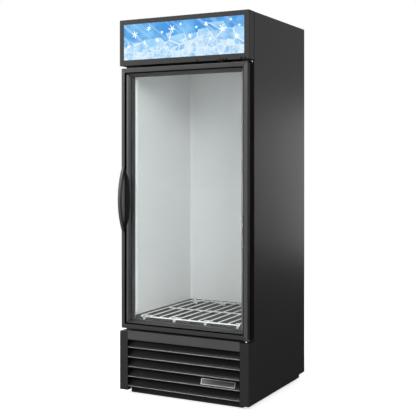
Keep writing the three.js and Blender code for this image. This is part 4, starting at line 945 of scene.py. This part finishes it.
def groove_lining(name):
    front, back = DOOR_LOW.y - LIP_PROUD, DOOR_LOW.y + GROOVE_DEPTH - CLEAR
    wide, tall, x, z = inner_rectangle(LIP_START, GROOVE_START + CLEAR)
    lining = fresh(bpy.ops.mesh.primitive_cube_add, name, size=1, location=(0, 0, 0))
    bpy.ops.transform.resize(value=(wide, back - front, tall))
    bpy.ops.transform.translate(value=(x, (front + back) / 2, z))

    def inset_to(rectangle):
        """Insets the selected outer face and fits the new one to a rectangle."""
        bpy.ops.mesh.inset(thickness=CLEAR)
        bpy.ops.transform.resize(value=(rectangle[0] / (wide - 2 * CLEAR), 1,
                                        rectangle[1] / (tall - 2 * CLEAR)))
        bpy.ops.transform.translate(value=(rectangle[2] - x, 0, 0))

    pick(lining, "FACE", lambda face, centre: face.normal.y < -0.9)
    inset_to(inner_rectangle(*[GROOVE_START + CLEAR + LINING] * 2))
    sink = (0, back - front - LINING, 0)
    bpy.ops.mesh.extrude_region_move(TRANSFORM_OT_translate={"value": sink})
    bpy.ops.mesh.inset(thickness=GROOVE_END - GROOVE_START - 2 * CLEAR - LINING)
    hole = inner_rectangle(GROOVE_END - CLEAR, GROOVE_END - CLEAR)
    pick(lining, "FACE", lambda face, centre: face.normal.y > 0.9)
    inset_to(hole)
    pick(lining, "FACE", lambda face, centre: abs(face.normal.y) > 0.9 and
         len(face.verts) == 4 and abs(face.calc_area() - hole[0] * hole[1]) < 0.0001)
    bpy.ops.mesh.bridge_edge_loops()
    # The lining is a dark sheet that paints the groove's shade.
    close(lining, "door", groove_black_painted_shade, smooth=30.0)


groove_lining("groove_lining")
print("groove lined")

# %% [markdown]
# ## Pale edge of the bevel
# Beside the groove, the outer part of the left bevel gets a painted highlight over its
# whole height. The stile is cut through in edit mode with a bisect, which leaves its
# shape as it is and gives the outer strip faces of its own, and those get a paler
# finish, which paints the highlight.

# %% Pale edge
PALE_WIDTH, BEVEL_REACH = 0.007, 0.002      # the second counts back from the groove's floor
stile = dressed("door_stile_left")
pale_from = DOOR_LOW.x + GROOVE_END
pale_to = pale_from + PALE_WIDTH
pale_depth = DOOR_LOW.y + GROOVE_DEPTH + BEVEL_REACH

only(stile)
bpy.ops.object.mode_set(mode="EDIT")
bpy.ops.mesh.select_all(action="SELECT")
bpy.ops.mesh.bisect(plane_co=(pale_to, 0, 0), plane_no=(1, 0, 0))
bpy.ops.object.mode_set(mode="OBJECT")
smoothed(stile)
# Painted highlight on the outer strip of the left bevel.
tone(stile, anodised_edge_highlight, lambda centre, normal: normal.y < -0.2 and centre.y < pale_depth and
     pale_from < centre.x < pale_to)
print(len([face for face in stile.data.polygons if face.material_index == 1]), "pale faces")

# %% [markdown]
# ## Bead on the door's hinge side
# A slim bead is rolled along the hinge side of the door, and its paler finish paints a
# highlight on it, a thin line of light in the dark gap. A flat bar's outer face is inset
# and raised twice to an arch.

# %% Side bead
BEAD_Y = (DOOR_LOW.y + 0.0139, DOOR_LOW.y + 0.0163)
BEAD_THICKNESS = 0.0006
BEAD_INSET = 0.006      # how far its ends stay inside the door's


def side_bead(name):
    tall = DOOR_HIGH.z - DOOR_LOW.z - 2 * BEAD_INSET
    bead = fresh(bpy.ops.mesh.primitive_cube_add, name, size=1, location=(0, 0, 0))
    bpy.ops.transform.resize(value=(BEAD_THICKNESS, BEAD_Y[1] - BEAD_Y[0], tall))
    bpy.ops.transform.translate(value=(DOOR_HIGH.x + BEAD_THICKNESS / 2, sum(BEAD_Y) / 2,
                                       (DOOR_LOW.z + DOOR_HIGH.z) / 2))
    pick(bead, "FACE", lambda face, centre: face.normal.x > 0.9)
    for inset, rise in ((0.0004, 0.0004), (0.0004, 0.0002)):
        bpy.ops.mesh.inset(thickness=inset)
        bpy.ops.transform.translate(value=(rise, 0, 0))
    close(bead, "door", anodised_painted_highlight, smooth=60.0)


side_bead("side_bead")
print("bead from", round(BEAD_Y[0], 4), "to", round(BEAD_Y[1], 4))

# %% [markdown]
# ## Screws
# Folded steel is held together by pan-head screws with a cross recess. One head is
# turned from a low cylinder: its top is inset and pulled down to a dome, and the
# cross is pushed in. It is made facing up at the origin, and every screw is a copy
# turned to its face. Those on the black sheets are painted over, those inside are
# bare zinc, and a few small dark ones sit along the foot of the sign's frame.

# %% One screw head
SCREW_RADIUS = 0.0045
HEAD_SHARE = 0.53       # a head's height as a share of its radius


def screw_head(name, material, radius=SCREW_RADIUS):
    height = radius * HEAD_SHARE
    screw = fresh(bpy.ops.mesh.primitive_cylinder_add, name, vertices=24, radius=radius,
                  depth=height, location=(0, 0, height / 2))
    pick(screw, "FACE", lambda face, centre: face.normal.z > 0.9)
    bpy.ops.mesh.inset(thickness=radius * 0.25)
    pick(screw, "EDGE", lambda edge, centre: all(
        v.co.z > height * 0.45 and v.co.xy.length > radius * 0.95 for v in edge.verts))
    bpy.ops.transform.translate(value=(0, 0, -height * 0.35))
    pick(screw, "FACE", lambda face, centre: face.normal.z > 0.9 and
         centre.xy.length < radius * 0.5)
    bpy.ops.mesh.inset(thickness=radius * 0.28)
    pick(screw, "FACE", lambda face, centre: face.normal.z > 0.9 and
         centre.xy.length < radius * 0.3)
    bpy.ops.mesh.extrude_region_move(TRANSFORM_OT_translate={"value": (0, 0, -height * 0.5)})
    bpy.ops.transform.resize(value=(0.35, 0.35, 1))
    return close(screw, "root", material)


def to_face(direction):
    """The turn that points +Z along a direction."""
    return Vector((0, 0, 1)).rotation_difference(Vector(direction)).to_matrix()


def set_at_each(pattern, name, places, body="root"):
    """Copies a pattern piece to each (direction, place), then removes the pattern."""
    for count, (direction, place) in enumerate(places):
        copy_at(pattern, f"{name}_{count + 1:02d}", to_face(direction), Vector(place), body)
    bpy.data.objects.remove(pattern)
    print(len(places), name)


SEAT_DEPTH = SCREW_RADIUS * HEAD_SHARE + 0.0002
SEAT_RADIUS = SCREW_RADIUS + 0.0003


def seats(node, places):
    """Cuts a round seat into a refined solid at each (direction, place) on its surface."""
    piece = dressed(node)
    bpy.ops.object.select_all(action="DESELECT")
    for direction, place in places:
        bpy.ops.mesh.primitive_cylinder_add(vertices=24, radius=SEAT_RADIUS, depth=2 * SEAT_DEPTH,
                                            location=place, rotation=to_face(direction).to_euler())
        bpy.context.object.name = "seat_cutter"
    cutters = [made for made in bpy.data.objects if made.name.startswith("seat_cutter")]
    for cutter in cutters:
        cutter.select_set(True)
    bpy.context.view_layer.objects.active = cutters[0]
    if len(cutters) > 1:
        bpy.ops.object.join()
    cutter = bpy.context.object
    apply_modifier(piece, "BOOLEAN", object=cutter, operation="DIFFERENCE", solver="EXACT")
    bpy.data.objects.remove(cutter)
    only(piece)
    smoothed(piece)


# %% [markdown]
# The sides and the top are the outermost faces, so screws there are sunk into round
# seats, cut with a Boolean modifier. Elsewhere the heads stand on the sheet.

# %% Where the screws go
RIB_PROUD = 0.0025      # the rear panel's ribs stand this far out of its sheet
rear_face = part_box("rear_panel")[1].y - RIB_PROUD
vent_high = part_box("rear_vent")[1]
side_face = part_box("cabinet_wrap")[1].x
header_low, header_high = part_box("header_box")
post_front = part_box("kick_post_right")[0].y
box_low, box_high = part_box("control_box")
LEFT, RIGHT, BACK, FRONT, UP = (-1, 0, 0), (1, 0, 0), (0, 1, 0), (0, -1, 0), (0, 0, 1)
SETBACK = 0.045         # side screws behind the front of what they hold
REAR_COLUMN = 0.362     # rear screws to either side of the middle

sunk = {
    "header_box": [(out, (side * side_face, header_low.y + SETBACK, z))
                   for side, out in ((-1, LEFT), (1, RIGHT)) for z in (1.8, 1.95)],
    "kick_post_left": [(LEFT, (-side_face, post_front + SETBACK, z)) for z in (0.06, 0.3)],
    "kick_post_right": [(RIGHT, (side_face, post_front + SETBACK, z)) for z in (0.06, 0.3)],
    "cabinet_wrap": [(UP, (x, y, header_high.z))
                     for x in (-0.33, 0.33) for y in (-0.25, 0.05, 0.35)],
}
painted = []
for node, places in sunk.items():
    seats(node, places)
    painted += [(out, Vector(place) - Vector(out) * SEAT_DEPTH) for out, place in places]
for side in (-1, 1):
    painted += [(BACK, (side * REAR_COLUMN, rear_face, z)) for z in (0.42, 0.8, 1.18, 1.56, 1.93)]
    painted += [(BACK, (side * REAR_COLUMN, vent_high.y, z)) for z in (0.07, 0.3)]
painted += [(BACK, (x, rear_face, z)) for x in (-0.12, 0.12) for z in (0.36, 1.965)]
bare = [(FRONT, (x, box_low.y, z)) for x in (box_low.x + 0.012, box_high.x - 0.012)
        for z in (box_low.z + 0.02, box_high.z - 0.02)]

set_at_each(screw_head("screw_pattern", powder_coat), "screw_painted", painted)
set_at_each(screw_head("screw_pattern", zinc_plate), "screw_bare", bare)
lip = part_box("header_frame")[0]
LIP_HEIGHT = lip.z + 0.0048
LIP_SCREWS_X = (0.09, 0.222, 0.239, 0.256, 0.339, 0.362)
# These small screws take the same black, as painted shade.
set_at_each(screw_head("screw_pattern", groove_black_painted_shade, radius=0.004), "screw_lip",
            [(FRONT, (x, lip.y, LIP_HEIGHT)) for x in LIP_SCREWS_X])

# %% [markdown]
# ## Hinge bolts
# The upper hinge's plate hangs from two hexagon bolts, which glint in the dark gap
# over the door. A head is a six-sided cylinder whose upper corners are chamfered
# round, standing on a wide thin washer.

# %% Hinge bolts
BOLT_RADIUS, BOLT_HEIGHT = 0.0052, 0.0042
BOLTS_X = (0.3455, 0.3645)
BOLT_SETBACK = 0.011        # from the bracket's rear
PIN_FOOT = 0.016            # the hinge's pin reaches this far below its plate
PLATE_THICKNESS = 0.004


def soften(piece):
    """Rounds the edges of a small piece."""
    apply_modifier(piece, "BEVEL", width=0.0003, segments=2, limit_method="ANGLE",
                   angle_limit=math.radians(40))


def hinge_bolt(name):
    bolt = fresh(bpy.ops.mesh.primitive_cylinder_add, name, vertices=6, radius=BOLT_RADIUS,
                 depth=BOLT_HEIGHT, location=(0, 0, BOLT_HEIGHT / 2))
    pick(bolt, "FACE", lambda face, centre: face.normal.z < -0.9)
    bpy.ops.mesh.inset(thickness=0.0004)
    bpy.ops.mesh.extrude_region_move(TRANSFORM_OT_translate={"value": (0, 0, -0.0002)})
    bpy.ops.transform.resize(value=(1.5, 1.5, 1))
    pick(bolt, "FACE", lambda face, centre: face.normal.z > 0.9)
    bpy.ops.mesh.inset(thickness=BOLT_RADIUS * 0.16)
    bpy.ops.transform.translate(value=(0, 0, 0.0003))
    bpy.ops.mesh.inset(thickness=BOLT_RADIUS * 0.4)
    bpy.ops.transform.translate(value=(0, 0, -0.0003))
    bpy.ops.object.mode_set(mode="OBJECT")
    soften(bolt)
    return close(bolt, "root", zinc_plate, smooth=25.0)


hinge_low, hinge_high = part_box("hinge_bracket_top")
plate_top = hinge_low.z + PIN_FOOT + PLATE_THICKNESS
set_at_each(hinge_bolt("bolt_pattern"), "hinge_bolt",
            [(UP, (x, hinge_high.y - BOLT_SETBACK, plate_top)) for x in BOLTS_X])

# %% [markdown]
# ## Hinge plugs
# Each hinge shows a small white plug, on the lower plate's front edge and on the
# upper plate's end. The plugs glow a little, which paints a glint on them. A disc's
# face is inset three times, and each ring is raised less than the last.

# %% Hinge plugs
PLUG_RADIUS, PLUG_HEIGHT = 0.0034, 0.0012
LOWER_PLUG_X, LOWER_PLUG_Z = 0.362, 0.3438


def plug(name):
    made = fresh(bpy.ops.mesh.primitive_cylinder_add, name, vertices=20, radius=PLUG_RADIUS,
                 depth=PLUG_HEIGHT, location=(0, 0, PLUG_HEIGHT / 2))
    pick(made, "FACE", lambda face, centre: face.normal.z > 0.9)
    for rise in (0.0007, 0.0004, 0.0002):
        bpy.ops.mesh.inset(thickness=PLUG_RADIUS * 0.26)
        bpy.ops.transform.translate(value=(0, 0, rise))
    return close(made, "root", plug_painted_glint, smooth=60.0)


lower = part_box("hinge_bracket_bottom")
front_edge = (LOWER_PLUG_X, lower[0].y, LOWER_PLUG_Z)
upper_end = (hinge_high.x, hinge_high.y - 0.0062, plate_top - 0.0032)
set_at_each(plug("plug_pattern"), "hinge_plug", [(FRONT, front_edge), (RIGHT, upper_end)])

# %% [markdown]
# ## Plate on the louvers
# A small plate is glued on the fourth louver, and it follows the louver's hollow
# face. It starts as a flat bar cut into rows, and each row is moved to its place on
# the louver's curve. A smaller, darker plate of the same kind stands a little proud
# of it and leaves a bright rim all round.

# %% Louver curve and plate
BEND = 0.28 * math.pi
BLADE_RISE = 0.0412         # 0.8 of the louvers' pitch
BLADE_RADIUS = BLADE_RISE / math.sin(BEND)
ROOT_TURN = math.pi / 2 + 0.65 * BEND
NOSE_RADIUS = 0.0036
ROOT = Vector((NOSE_Y + NOSE_RADIUS * math.cos(ROOT_TURN),
               NOSE_Z + NOSE_RADIUS * math.sin(ROOT_TURN)))
PLATE_X = (0.105, 0.298)
PLATE_Z = (0.1055, 0.1336)
PLATE_ROWS = 8


def on_louver(height, lift):
    """Where the louver's face is at a height, moved out from it by a lift: (y, z)."""
    turn = math.asin(math.sin(BEND) - (height - ROOT.y) / BLADE_RADIUS)
    centre = Vector((ROOT.x - BLADE_RADIUS * math.cos(BEND),
                     ROOT.y + BLADE_RADIUS * math.sin(BEND)))
    reach = BLADE_RADIUS - lift
    return centre.x + reach * math.cos(turn), centre.y - reach * math.sin(turn)


def louver_plate(name, x_span, z_span, back, front, material):
    """A bar from x to x, laid along the louver's face between two lifts."""
    rows = [z_span[0] + (z_span[1] - z_span[0]) * i / PLATE_ROWS for i in range(PLATE_ROWS + 1)]
    centre = ((x_span[0] + x_span[1]) / 2, 0, (z_span[0] + z_span[1]) / 2)
    plate = fresh(bpy.ops.mesh.primitive_cube_add, name, size=1, location=(0, 0, 0))
    bpy.ops.transform.resize(value=(x_span[1] - x_span[0], 1, z_span[1] - z_span[0]))
    bpy.ops.transform.translate(value=centre)
    for row in rows[1:-1]:
        bpy.ops.mesh.select_all(action="SELECT")
        bpy.ops.mesh.bisect(plane_co=(0, 0, row), plane_no=(0, 0, 1))
    mesh = bmesh.from_edit_mesh(plate.data)
    for vertex in mesh.verts:
        lift = front if vertex.co.y < 0 else back
        vertex.co.y, vertex.co.z = on_louver(vertex.co.z, lift)
    bmesh.update_edit_mesh(plate.data)
    bpy.ops.object.mode_set(mode="OBJECT")
    soften(plate)
    close(plate, "root", material, smooth=40.0)


RIM = 0.0026
louver_plate("plate_rim", PLATE_X, PLATE_Z, -0.0002, 0.0008, zinc_plate)
louver_plate("plate_field", (PLATE_X[0] + RIM, PLATE_X[1] - RIM),
             (PLATE_Z[0] + RIM, PLATE_Z[1] - RIM), 0.0004, 0.001,
             anodised_level)
print("plate", round(PLATE_X[1] - PLATE_X[0], 3), "m wide")

# %% [markdown]
# ## Flakes on the sign
# Thin flakes are laid over the sheet. A flake starts as a twelve-sided disc: every
# second side is drawn out three times into an arm, the middle part of each arm grows
# two barbs, and the barbs' ends are pushed outward so that they slant.

# %% Flakes
SHEET_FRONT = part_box("sign_panel")[0].y
FLAKE_THICKNESS = 0.0004


def flake(name, reach):
    """A six-armed flake facing up at the origin; reach is the arms' length."""
    hub = reach * 0.17
    made = fresh(bpy.ops.mesh.primitive_cylinder_add, name, vertices=12, radius=hub,
                 depth=FLAKE_THICKNESS, location=(0, 0, FLAKE_THICKNESS / 2))

    def side_number(centre):
        """Which of the twelve sides a place lies on, counted round."""
        return round((math.degrees(math.atan2(centre.y, centre.x)) + 15) / 30)

    pick(made, "FACE", lambda face, centre: abs(face.normal.z) < 0.5 and
         side_number(centre) % 2 == 0)
    for step in (0.5, 0.09, 0.31):
        bpy.ops.mesh.extrude_faces_move(TRANSFORM_OT_shrink_fatten={"value": -reach * step})
    pick(made, "FACE", lambda face, centre: abs(face.normal.z) < 0.5 and
         reach * 0.59 < centre.xy.length < reach * 0.7 and
         abs(face.normal.dot(centre.normalized())) < 0.5)
    bpy.ops.mesh.extrude_faces_move(TRANSFORM_OT_shrink_fatten={"value": -reach * 0.12})
    bpy.ops.transform.resize(value=(1.2, 1.2, 1), center_override=(0, 0, 0))
    return close(made, "root", flake_white, smooth=0)


FLAKES = {
    0.026: ((-0.286, 1.915), (-0.06, 1.93), (0.232, 1.914)),
    0.018: ((-0.2, 1.943), (-0.148, 1.878), (0.048, 1.888), (0.142, 1.943), (0.314, 1.87)),
    0.011: ((-0.328, 1.852), (-0.226, 1.868), (-0.12, 1.918), (-0.008, 1.952), (0.084, 1.93),
            (0.166, 1.866), (0.281, 1.955), (0.328, 1.924)),
}
for reach, centres in FLAKES.items():
    pattern = flake("flake_pattern", reach)
    for count, (x, z) in enumerate(centres):
        turned = to_face(FRONT) @ Matrix.Rotation(math.radians(17 * count + reach * 2000), 3, "Z")
        name = f"flake_{round(reach * 1000):02d}_{count + 1}"
        copy_at(pattern, name, turned, Vector((x, SHEET_FRONT, z)), "root")
    bpy.data.objects.remove(pattern)
print(sum(len(centres) for centres in FLAKES.values()), "flakes")
